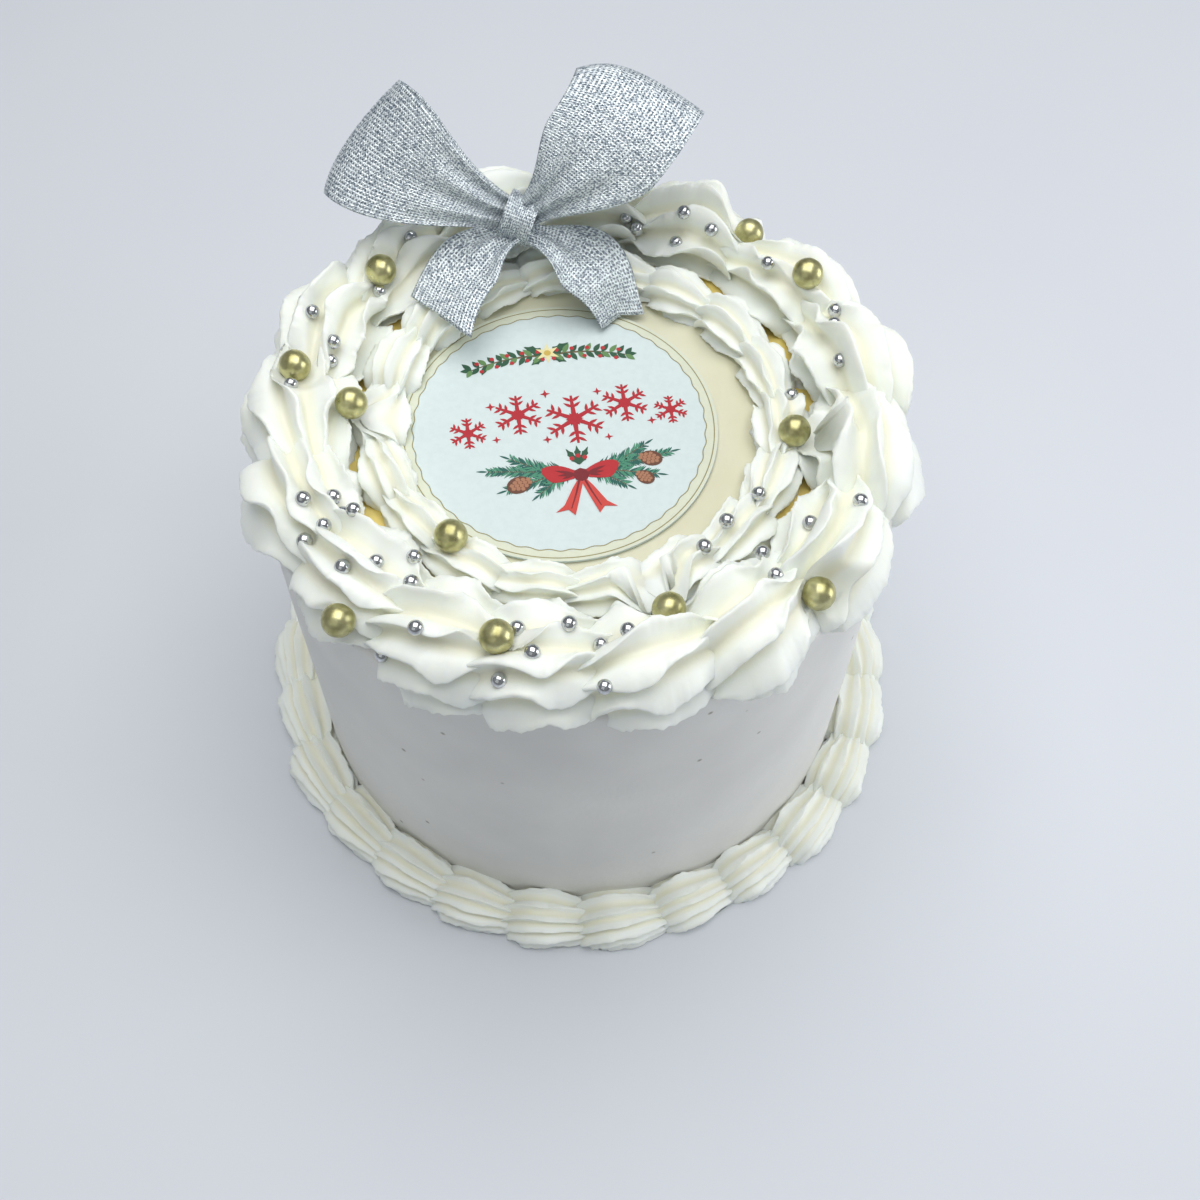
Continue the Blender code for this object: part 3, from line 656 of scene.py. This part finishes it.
def cake_piece(side_finish, top_finish):
    """The frosted cake with a soft, slightly uneven top edge."""
    columns = 240
    wall_rows = 40
    wall, top = CAKE_RADIUS / MM, CAKE_HEIGHT / MM
    # The straight wall ends a hair below the rounding
    straight = top - FOOT_BEVEL - TOP_ROUNDING - 0.1
    profile = [(0.2, 0.0), (wall - FOOT_BEVEL, 0.0), (wall, FOOT_BEVEL)]
    profile += [(wall, FOOT_BEVEL + straight * step / wall_rows) for step in range(1, wall_rows + 1)]
    for step in range(1, 9):
        turn = 0.5 * math.pi * step / 8
        inset = TOP_ROUNDING * (1.0 - math.cos(turn))
        profile.append((wall - inset, top - TOP_ROUNDING * (1.0 - math.sin(turn))))
    profile += [(radius, top) for radius in (64, 58, 52, 46, 40, 34, 28, 20, 12, 5, 0.2)]
    profile = np.array(profile) * MM
    angles = np.linspace(0.0, math.tau, columns, endpoint=False)
    radius, angle = np.meshgrid(profile[:, 0], angles, indexing="ij")
    height = np.repeat(profile[:, 1][:, None], columns, axis=1)
    wave = WALL_WAVE * (np.sin(3 * angle + 40 * height) + 0.6 * np.sin(7 * angle - 90 * height + 1.0))
    radius = radius - np.where(radius > 60 * MM, 0.2 * MM - wave * 0.8, 0.0) * (height > 1 * MM)
    points = np.stack((radius * np.cos(angle), radius * np.sin(angle), height), axis=2).reshape(-1, 3)
    faces = grid_faces(len(profile), columns, True)
    faces.append(tuple(reversed(range(columns))))
    last = (len(profile) - 1) * columns
    faces.append(tuple(range(last, last + columns)))
    obj = mesh_object("cake_body_frosted", points, faces, side_finish)
    obj.data.materials.append(top_finish)
    for polygon in obj.data.polygons:
        if polygon.center.z > CAKE_HEIGHT - 0.2 * MM:
            polygon.material_index = 1
    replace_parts(obj, "cake_body")


def smooth(value):
    """A step from 0 to 1 with soft ends."""
    value = min(max(value, 0.0), 1.0)
    return value * value * (3.0 - 2.0 * value)


def bow_axes():
    """Sideways, upward and facing directions of the plane that the bow spreads in."""
    sideways = Vector((1.0, 0.0, 0.0))
    upward = Vector((0.0, math.cos(BOW_TILT), math.sin(BOW_TILT)))
    return sideways, upward, sideways.cross(upward)


def loop_surface(side):
    """A loop of ribbon as a function of its run, from 0 to 1, and its breadth, from -1 to 1."""
    sideways, upward, facing = bow_axes()
    turn = LOOP_ANGLES[side]
    along = sideways * math.cos(turn) + upward * math.sin(turn)
    across = facing.cross(along)
    length = LOOP_LENGTHS[side]
    phase = 1.3 if side == "left" else 0.2

    def point(run, breadth):
        ahead = 0.5 * length * (1.0 - math.cos(math.tau * run))
        spread = LOOP_BULGE * math.sin(math.tau * run) * math.sin(math.pi * run) ** 0.6
        spread += 1.2 * MM * math.cos(math.pi * run)
        widened = smooth(ahead / (LOOP_FILLS[side] * length))
        half = LOOP_HALVES[side] * (LOOP_NECK + (1.0 - LOOP_NECK) * widened)
        sag = LOOP_SAGS[side] * math.sin(math.pi * ahead / length)
        sheer = LOOP_SKEWS[side] * half * breadth * ahead / length
        bowed = LOOP_BOWING * (1.0 - breadth * breadth) - LOOP_ROUNDING[side] * max(breadth, 0.0) ** 4
        sheer += bowed * (ahead / length) ** 4
        gathered = 1.0 - smooth(ahead / (0.75 * length))
        layer = 1.0 if run < 0.5 else -1.0
        pleat = LOOP_PLEAT * gathered * math.cos(2.6 * math.pi * breadth + phase + layer)
        pleat += LOOP_SLACK * math.sin(9.0 * run + 2.2 * breadth + phase)
        edge = LOOP_EDGE_WAVE * math.sin(17.0 * run + phase) * abs(breadth) ** 3
        place = BOW_CENTRE + along * (ahead + sheer) + across * (half * breadth + sag)
        return place + facing * (spread + pleat) + along * edge

    return point


def tail_plan(side, run, breadth):
    """Where a tail's point lies seen from above."""
    first, middle, last = [Vector(point) * MM for point in TAIL_LINES[side]]
    line = first * (1.0 - run) ** 2 + middle * 2.0 * run * (1.0 - run) + last * run**2
    heading = ((middle - first) * (1.0 - run) + (last - middle) * run).normalized()
    across = Vector((-heading.y, heading.x))
    start, halfway, end = [half * MM for half in TAIL_HALVES[side]]
    half = start + (halfway - start) * smooth(2.0 * run) + (end - halfway) * smooth(2.0 * run - 1.0)
    ahead = (TAIL_SLANTS[side] * breadth - TAIL_NOTCHES[side] * (1.0 - abs(breadth))) * MM * run**3
    return line + heading * ahead + across * half * breadth


def tail_surface(side, tree):
    """A tail of ribbon, stretched over the icing from the knot, with one edge folded under."""
    runs = [step / TAIL_STEPS for step in range(TAIL_STEPS + 1)]
    lows = []
    for run in runs:
        low = CAKE_HEIGHT + 2.0 * MM
        for breadth in TAIL_PROBES:
            spot = tail_plan(side, run, breadth)
            hit = tree.ray_cast(Vector((spot.x, spot.y, RAY_START)), DOWN)[0]
            if hit:
                low = max(low, hit.z + TAIL_CLEAR)
        lows.append(low)
    lows[0] = TAIL_START
    heights = list(lows)
    for start in range(len(runs)):
        for end in range(start + 1, len(runs)):
            for between in range(start + 1, end):
                part = (between - start) / (end - start)
                heights[between] = max(heights[between], lows[start] + (lows[end] - lows[start]) * part)
    phase = 0.4 if side == "left" else 2.0
    folded = 1.0 if side == "left" else -1.0

    def point(run, breadth):
        turned_in = max(breadth * folded - TAIL_FOLD, 0.0)
        under = TAIL_UNDER * smooth(6.0 * turned_in)
        breadth = (min(breadth * folded, TAIL_FOLD) - turned_in + 1.0) * 2.0 / (1.0 + TAIL_FOLD) - 1.0
        breadth *= folded
        spot = tail_plan(side, run, breadth)
        step = min(max(int(run * TAIL_STEPS), 0), TAIL_STEPS - 1)
        height = heights[step] + (heights[step + 1] - heights[step]) * (run * TAIL_STEPS - step)
        gathered = 1.0 - smooth(run / 0.7)
        pleat = TAIL_PLEAT * gathered * (1.0 + math.cos(2.3 * math.pi * breadth + phase))
        pleat += TAIL_SLACK * (1.0 + math.sin(7.0 * run + 2.5 * breadth + phase)) * smooth(3.0 * run)
        return Vector((spot.x, spot.y, height + pleat - under))

    return point


def ribbon_piece(name, surface, runs, columns, width, finish, nodes):
    """A thin woven ribbon along a surface, with its flat place in millimetres as UVs."""
    points = []
    sides = []
    length = 0.0
    before = surface(runs[0], 0.0)
    for run in runs:
        middle = surface(run, 0.0)
        length += (middle - before).length
        before = middle
        for column in range(columns):
            breadth = 2.0 * column / (columns - 1) - 1.0
            points.append(surface(run, breadth))
            sides.append((0.5 * width * breadth / MM, length / MM))
    faces = grid_faces(len(runs), columns, False)
    obj = mesh_object(name, points, faces, finish, sides=sides)
    skin = obj.modifiers.new("thickness", "SOLIDIFY")
    skin.thickness = WOVEN_THICKNESS
    skin.offset = 0.0
    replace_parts(obj, *nodes)
    return obj, length


def knot_surface(run, breadth):
    """The band that wraps the gathered middle, run round it and breadth along it."""
    sideways, upward, facing = bow_axes()
    turn = math.tau * run
    inner = KNOT_RADIUS + GAP + 0.5 * TIE_THICKNESS
    lean = sideways * math.cos(KNOT_LEAN) + upward * math.sin(KNOT_LEAN)
    side_on = facing.cross(lean)
    waist = 1.0 + 0.16 * breadth * breadth
    fold = KNOT_PLEAT * math.cos(3.2 * math.pi * breadth + 1.5 * math.sin(turn))
    radius = inner * waist + fold
    round_middle = side_on * math.cos(turn) + facing * math.sin(turn)
    return BOW_CENTRE + round_middle * radius + lean * (0.5 * TIE_WIDTH * breadth)


def surface_tree(pieces):
    """A tree for rays against several pieces."""
    points = []
    faces = []
    for obj in pieces:
        start = len(points)
        points += [vertex.co.copy() for vertex in obj.data.vertices]
        faces += [[start + index for index in polygon.vertices] for polygon in obj.data.polygons]
    return BVHTree.FromPolygons(points, faces)


def pearl_places(tree, spots, border, radius):
    """Centres of pearls that lie on a border."""
    places = []
    for around, over in spots:
        outward = Vector((math.cos(math.radians(around)), math.sin(math.radians(around)), 0.0))
        lean = math.radians(over)
        aim = outward * math.cos(lean) + Vector(UP) * math.sin(lean)
        middle = outward * border.radius + Vector(UP) * (border.seat + 0.35 * border.reach)
        hit = tree.ray_cast(middle + aim * 2.0 * border.reach, -aim)[0]
        places.append(hit + aim * radius * (1.0 - 2.0 * PEARL_SINK))
    return places


def joined_balls(name, places, radius, finish):
    """Slightly uneven sugar balls as one piece."""
    uneven = random.Random(7)
    work = bmesh.new()
    for place in places:
        ball = bmesh.ops.create_icosphere(work, subdivisions=3, radius=radius * uneven.uniform(0.94, 1.04))
        bmesh.ops.translate(work, verts=ball["verts"], vec=place)
    mesh = bpy.data.meshes.new(name)
    work.to_mesh(mesh)
    work.free()
    return piece(name, mesh, finish)


def gold_ball(number, finish):
    """A gold sugar ball with a slightly uneven skin, in the place of its solid."""
    node = f"gold_pearl_{number:02d}"
    low, high = [Vector(corner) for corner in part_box(node)]
    centre = 0.5 * (low + high)
    radius = 0.5 * (high.x - low.x)
    uneven = random.Random(100 + number)
    tilt = Vector((uneven.uniform(-1, 1), uneven.uniform(-1, 1), uneven.uniform(0.2, 1))).normalized()
    work = bmesh.new()
    bmesh.ops.create_icosphere(work, subdivisions=4, radius=radius)
    for vertex in work.verts:
        facing = max(vertex.co.normalized().dot(tilt), 0.0)
        vertex.co *= 0.99 - 0.05 * facing**8 + 0.006 * math.sin(9.0 * vertex.co.x / radius + number)
        vertex.co += centre
    name = f"gold_ball_{number:02d}"
    mesh = bpy.data.meshes.new(name)
    work.to_mesh(mesh)
    work.free()
    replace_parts(piece(name, mesh, finish), node)


class Drawing:
    """Flat shapes of one colour on the printed disc, in millimetres from its middle."""

    def __init__(self, name, colour, level):
        self.name = name
        self.colour = colour
        self.height = PRINT_TOP + level * INK_STEP
        self.points = []
        self.faces = []

    def shape(self, outline, place=(0.0, 0.0), turn=0.0):
        """A filled outline, turned and set down at its place on the print."""
        start = len(self.points)
        for x, y in outline:
            across = place[0] + x * math.cos(turn) - y * math.sin(turn)
            up = place[1] + x * math.sin(turn) + y * math.cos(turn)
            across, up = (
                across * math.cos(PRINT_TURN) - up * math.sin(PRINT_TURN),
                across * math.sin(PRINT_TURN) + up * math.cos(PRINT_TURN),
            )
            level = self.height + len(self.faces) % INK_SHEETS * INK_SHEET
            self.points.append((PRINT_X + across * MM, PRINT_Y + up * MM, level))
        self.faces.append(tuple(range(start, start + len(outline))))

    def disc(self, place, radius, sides=14, flatness=1.0, turn=0.0):
        """A filled round or oval."""
        turns = [math.tau * step / sides for step in range(sides)]
        self.shape([(radius * math.cos(a), flatness * radius * math.sin(a)) for a in turns], place, turn)

    def band(self, inner, outer, steps=360):
        """A closed band between two radii, each a function of the angle."""
        start = len(self.points)
        for step in range(steps):
            angle = math.tau * step / steps
            for radius in (inner(angle), outer(angle)):
                x = PRINT_X + radius * MM * math.cos(angle)
                y = PRINT_Y + radius * MM * math.sin(angle)
                self.points.append((x, y, self.height))
        for step in range(steps):
            here = start + 2 * step
            after = start + 2 * ((step + 1) % steps)
            self.faces.append((here, here + 1, after + 1, after))

    def leaf(self, place, turn, length, width, spines=0):
        """A pointed leaf from its stalk end, plain or with spines."""
        side = []
        for step in range(13):
            share = step / 12
            half = 0.5 * width * math.sin(math.pi * share**0.85)
            if spines:
                half *= 1.0 - 0.4 * abs(math.sin(math.pi * spines * share))
            side.append((length * share, half))
        self.shape(side + [(x, -y) for x, y in reversed(side[1:-1])], place, turn)

    def stroke(self, path, width):
        """A thin line along a path, tapered to its end."""
        left = []
        right = []
        for index, (x, y) in enumerate(path):
            before = path[max(index - 1, 0)]
            after = path[min(index + 1, len(path) - 1)]
            heading = Vector((after[0] - before[0], after[1] - before[1])).normalized()
            half = 0.5 * width * (1.0 - 0.6 * index / (len(path) - 1))
            left.append((x - heading.y * half, y + heading.x * half))
            right.append((x + heading.y * half, y - heading.x * half))
        self.shape(left + right[::-1])

    def lay(self):
        """Adds the shapes to the scene as one piece."""
        obj = mesh_object(self.name, self.points, self.faces, paper(self.name, self.colour))
        work = bmesh.new()
        work.from_mesh(obj.data)
        for face in work.faces:
            if face.normal.z < 0.0:
                face.normal_flip()
        work.to_mesh(obj.data)
        work.free()
        return obj


def star_outline(points, outer, inner, turn=0.0):
    """A star with straight points."""
    outline = []
    for step in range(2 * points):
        radius = inner if step % 2 else outer
        angle = turn + math.pi * step / points
        outline.append((radius * math.cos(angle), radius * math.sin(angle)))
    return outline


def fir_twig(dark, light, wood, place, turn, length, drawn):
    """A twig with needles on both sides, longest at its middle."""
    heading = Vector((math.cos(turn), math.sin(turn)))
    end = (place[0] + heading.x * length, place[1] + heading.y * length)
    wood.stroke([place, (0.5 * (place[0] + end[0]), 0.5 * (place[1] + end[1])), end], 0.5)
    count = int(length / 0.42)
    for number in range(count):
        share = number / count
        root = (place[0] + heading.x * length * share, place[1] + heading.y * length * share)
        for side in (-1, 1):
            slant = turn + side * math.radians(drawn.uniform(30, 52))
            size = 3.6 * (1.0 - 0.55 * share) * drawn.uniform(0.8, 1.1)
            ink = dark if drawn.random() < 0.6 else light
            ink.leaf(root, slant, size, 0.42)
    dark.leaf(end, turn, 2.6, 0.5)


def cone(body, scales, place, size, turn):
    """A small cone seen from its side, with rows of scales."""
    body.disc(place, size, 20, 0.8, turn)
    for row in range(5):
        ahead = size * (0.72 - 0.36 * row)
        count = (2, 3, 4, 3, 2)[row]
        for number in range(count):
            aside = 0.42 * size * (number - 0.5 * (count - 1))
            x = place[0] + ahead * math.cos(turn) - aside * math.sin(turn)
            y = place[1] + ahead * math.sin(turn) + aside * math.cos(turn)
            heading = turn + math.pi + 0.5 * (number - 0.5 * (count - 1))
            scales.leaf((x, y), heading, 0.42 * size, 0.36 * size)


def printed_bow(red, shade, bright, place):
    """A tied bow: two loops with their insides, two tails and a knot."""
    x, y = place
    for side in (-1, 1):
        loop = []
        for step in range(25):
            turn = math.tau * step / 24
            ahead = 4.6 * (1.0 - math.cos(turn)) * (1.0 + 0.06 * math.sin(3 * turn))
            half = 3.1 * math.sin(turn) * (0.35 + 0.65 * (1.0 - math.cos(turn)) / 2)
            loop.append((side * 0.9 * ahead, half + 0.1 * ahead))
        red.shape(loop[:-1] if side > 0 else loop[-2::-1], (x, y + 0.3))
        for slot in range(3):
            fold = math.radians(18 - 18 * slot) * side
            start = (x + side * 1.2, y + 0.4)
            shade.leaf(start, fold if side > 0 else math.pi + fold, 4.6 - 0.7 * slot, 0.7)
        tail = [(side * across, up) for across, up in BOW_TAIL]
        bright.shape(tail if side < 0 else tail[::-1], (x, y))
        shade.stroke([(x + side * 0.5, y - 1.0), (x + side * 1.7, y - 4.6), (x + side * 3.2, y - 8.4)], 0.5)
    shade.shape(star_outline(8, 1.75, 1.6), (x, y + 0.1))
    bright.disc((x, y + 0.25), 1.25)


def rim_line(share, wave=0.0):
    """A radius near the print's edge as a function of the angle, even or wavy."""
    return lambda angle: PRINT_RADIUS / MM * (share + wave * math.sin(WAVY_COUNT * angle))


def print_piece():
    """The disc of sugar paper with its printed seasonal design."""
    drawn = random.Random(12)
    points = []
    for level in (PRINT_LOW[2], PRINT_TOP):
        for step in range(DISC_STEPS):
            angle = math.tau * step / DISC_STEPS
            x = PRINT_X + PRINT_RADIUS * math.cos(angle)
            points.append((x, PRINT_Y + PRINT_RADIUS * math.sin(angle), level))
    under = tuple(range(DISC_STEPS - 1, -1, -1))
    above = tuple(range(DISC_STEPS, 2 * DISC_STEPS))
    faces = [*grid_faces(2, DISC_STEPS, True), under, above]
    look = paper("print_paper", linear(212, 225, 226))
    sheet = mesh_object("print_paper", points, faces, look)
    sheet.data.shade_flat()
    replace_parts(sheet, "print_disc")

    rim = Drawing("print_rim", linear(218, 222, 202), 1)
    rim.band(*[rim_line(share) for share in RIM_SHARES])
    ring = Drawing("print_ring", linear(150, 142, 96), 2)
    ring.band(*[rim_line(share) for share in RING_SHARES])
    ring.band(*[rim_line(share, WAVY_SIZE) for share in WAVY_SHARES])

    leaves = Drawing("print_leaves", linear(36, 84, 58), 3)
    young = Drawing("print_young_leaves", linear(98, 138, 84), 4)
    wood = Drawing("print_twigs", linear(112, 92, 66), 2)
    berries = Drawing("print_berries", linear(186, 38, 46), 5)
    for side in (-1, 1):
        path = []
        for step in range(11):
            share = step / 10
            height = GARLAND_HEIGHT - 2.2 * share**2 + 0.5 * math.sin(3 * share)
            path.append((side * GARLAND_LENGTH * share, height))
        wood.stroke(path, 0.7)
        for number in range(1, 11):
            x, y = path[number]
            facing = 0.0 if side > 0 else math.pi
            for lift in (-1, 1):
                ink = leaves if (number + lift) % 3 else young
                slant = facing + side * lift * math.radians(drawn.uniform(42, 64))
                ink.leaf((x, y), slant, drawn.uniform(2.3, 3.1), 1.25)
            if number % 2:
                berries.disc((x + 0.4 * side, y + 1.1), 0.52)
                berries.disc((x - 0.5 * side, y - 1.2), 0.5)
        leaves.leaf(path[-1], 0.0 if side > 0 else math.pi, 2.6, 1.2)
        leaves.leaf((side * 0.6, GARLAND_HEIGHT + 0.2), math.pi / 2 - side * 1.0, 5.4, 3.0, spines=3)
        leaves.leaf((side * 0.6, GARLAND_HEIGHT), -math.pi / 2 + side * 0.95, 4.2, 2.4, spines=3)
    blossom = Drawing("print_blossom", linear(232, 222, 168), 6)
    blossom.shape(star_outline(6, 2.9, 1.2, math.pi / 2), BLOSSOM_PLACE)
    heart = Drawing("print_hearts", linear(206, 176, 84), 7)
    heart.disc(BLOSSOM_PLACE, 0.8)

    flakes = Drawing("print_flakes", linear(178, 24, 40), 3)
    for across, up, size in FLAKES:
        for arm in range(6):
            turn = math.pi / 6 + math.tau * arm / 6
            tip = (across + size * math.cos(turn), up + size * math.sin(turn))
            middle = (0.5 * (tip[0] + across), 0.5 * (tip[1] + up))
            flakes.stroke([(across, up), middle, tip], 0.42 * size**0.6)
            for part in (0.5, 0.75):
                for side in (-1, 1):
                    root = (across + part * size * math.cos(turn), up + part * size * math.sin(turn))
                    flakes.leaf(root, turn + side * 0.95, 0.36 * size, 0.2 * size**0.7)
        flakes.shape(star_outline(6, 0.3 * size, 0.17 * size), (across, up))
    for across, up, size in DOTS:
        flakes.shape(star_outline(4, size, 0.36 * size, math.pi / 2), (across, up))

    needles = Drawing("print_needles", linear(20, 92, 82), 3)
    pale = Drawing("print_pale_needles", linear(70, 140, 112), 4)
    for side in (-1, 1):
        facing = 0.0 if side > 0 else math.pi
        for lift, length, start in FIR_TWIGS:
            root = (SPRAY_MIDDLE + side * start, SPRAY_HEIGHT)
            fir_twig(needles, pale, wood, root, facing + side * math.radians(lift), length, drawn)
    for turn in (62, 90, 118):
        leaves.leaf((SPRAY_MIDDLE, -10.6), math.radians(turn), 5.2, 1.9, spines=3)
        berries.disc((SPRAY_MIDDLE + 0.05 * (90 - turn), -8.2 - 0.02 * abs(90 - turn)), 0.55)
    cones = Drawing("print_cones", linear(104, 62, 44), 6)
    scales = Drawing("print_cone_scales", linear(170, 118, 88), 7)
    for place, size, heading in CONES:
        cone(cones, scales, place, size, math.radians(heading))
    red = Drawing("print_bow", linear(184, 30, 40), 8)
    bright = Drawing("print_bow_tails", linear(206, 66, 58), 9)
    shade = Drawing("print_bow_folds", linear(120, 18, 30), 10)
    printed_bow(red, shade, bright, (SPRAY_MIDDLE, -13.4))
    lower = (rim, ring, wood, leaves, needles, flakes, young, pale)
    upper = (berries, blossom, heart, cones, scales, red, bright, shade)
    for ink in (*lower, *upper):
        ink.lay()


# The shells, drawn in the same seeded order as the solids
draws = random.Random(SHELL_SEED)
outer = [Shell(OUTER, head, draws) for head in OUTER_HEADS]
inner = [Shell(INNER, INNER_FIRST - 360.0 * number / INNER_COUNT, draws) for number in range(INNER_COUNT)]
base = [Shell(BASE, BASE_FIRST + 360.0 * number / BASE_COUNT, draws) for number in range(BASE_COUNT)]
ragged = random.Random(SHELL_SEED + 1)
cream = buttercream()
pressed = sockets()
outer_pieces = []
for number, shell in enumerate(outer, 1):
    name = f"large_shell_{number:02d}"
    nodes = [f"outer_shell_{number:02d}"]
    outer_pieces.append(shell_piece(name, [shell], OUTER_GRID, cream, pressed, nodes, ragged))
inner_piece = shell_piece("small_shells", inner, INNER_GRID, cream, pressed, ["inner_border"], ragged)
for number, shell in enumerate(base, 1):
    name = f"foot_shell_{number:02d}"
    nodes = [f"base_shell_{number:02d}"]
    shell_piece(name, [shell], BASE_GRID, cream, pressed, nodes, ragged, 0.0)
cake_piece(frosting(), cream_top())
print_piece()

# Sugar pearls
icing_tree = surface_tree([*outer_pieces, inner_piece])
silver_places = pearl_places(icing_tree, SILVER_ON_OUTER, OUTER, SILVER_RADIUS)
silver_places += pearl_places(icing_tree, SILVER_ON_INNER, INNER, SILVER_RADIUS)
joined_balls("silver_pearls", silver_places, SILVER_RADIUS, silver_sugar())
gold = gold_sugar()
for number in range(1, GOLD_COUNT + 1):
    gold_ball(number, gold)

# The bow: loops and tails of one woven ribbon, and the band round their middle
woven = silver_mesh()
loop_runs = [0.02 + 0.96 * step / LOOP_ROWS for step in range(LOOP_ROWS + 1)]
tail_runs = [step / TAIL_ROWS for step in range(TAIL_ROWS + 1)]
bow_parts = []
for bow_side in ("left", "right"):
    bow_parts.append((f"{bow_side}_loop", loop_surface(bow_side), loop_runs))
    bow_parts.append((f"{bow_side}_tail", tail_surface(bow_side, icing_tree), tail_runs))
knot_runs = [step / KNOT_ROWS for step in range(KNOT_ROWS + 1)]
ribbon_piece("knot_band", knot_surface, knot_runs, KNOT_COLUMNS, KNOT_BAND_WIDTH, woven, ["bow_tie"])
for part_name, part_surface, part_runs in bow_parts:
    part, part_length = ribbon_piece(
        part_name, part_surface, part_runs, RIBBON_COLUMNS, RIBBON_WIDTH, woven, ["bow_ribbon"]
    )

# Floor, light and camera
floor_mesh = bpy.data.meshes.new("floor")
floor_mesh.from_pydata([(-2, -2, 0), (2, -2, 0), (2, 2, 0), (-2, 2, 0)], [], [(0, 1, 2, 3)])
floor_look = Nodes("floor_paint", linear(214, 218, 226), 0.7)
floor_look.colour(floor_look.blend(floor_look.noise(8.0), linear(212, 216, 225), linear(217, 221, 228)))
floor_mesh.materials.append(floor_look.material)
floor = bpy.data.objects.new("floor", floor_mesh)
bpy.context.scene.collection.objects.link(floor)


def area_light(name, place, target, size, power, colour):
    """A soft rectangular light that faces a point."""
    data = bpy.data.lights.new(name, "AREA")
    data.size = size
    data.energy = power
    data.color = colour
    obj = bpy.data.objects.new(name, data)
    obj.location = place
    obj.rotation_euler = (Vector(target) - Vector(place)).to_track_quat("-Z", "Y").to_euler()
    bpy.context.scene.collection.objects.link(obj)


area_light("sky", (0.02, 0.12, 0.9), (0, 0, 0.08), 0.9, 6.9, (1.0, 0.995, 0.98))
area_light("side", (0.85, -0.05, 0.3), (0, 0, 0.06), 0.5, 2.7, (0.97, 0.985, 1.0))
area_light("fill", (-0.4, -0.7, 0.7), (0, 0, 0.03), 0.7, 0.6, (0.96, 1.0, 0.97))

world = bpy.data.worlds.new("room")
bpy.context.scene.world = world
world.use_nodes = True
background = world.node_tree.nodes["Background"]
background.inputs["Color"].default_value = (0.93, 0.97, 1.0, 1.0)
background.inputs["Strength"].default_value = 0.26
bpy.context.scene.view_settings.view_transform = "Standard"

camera_data = bpy.data.cameras.new("camera")
camera_data.lens = CAMERA_LENS
camera_data.sensor_width = CAMERA_SENSOR
camera_data.clip_start = 0.01
camera = bpy.data.objects.new("camera", camera_data)
bpy.context.scene.collection.objects.link(camera)
look = Matrix.Rotation(0.5 * math.pi - CAMERA_PITCH, 4, "X") @ Matrix.Rotation(CAMERA_ROLL, 4, "Z")
camera.matrix_world = Matrix.Translation(CAMERA_PLACE) @ look
bpy.context.scene.camera = camera
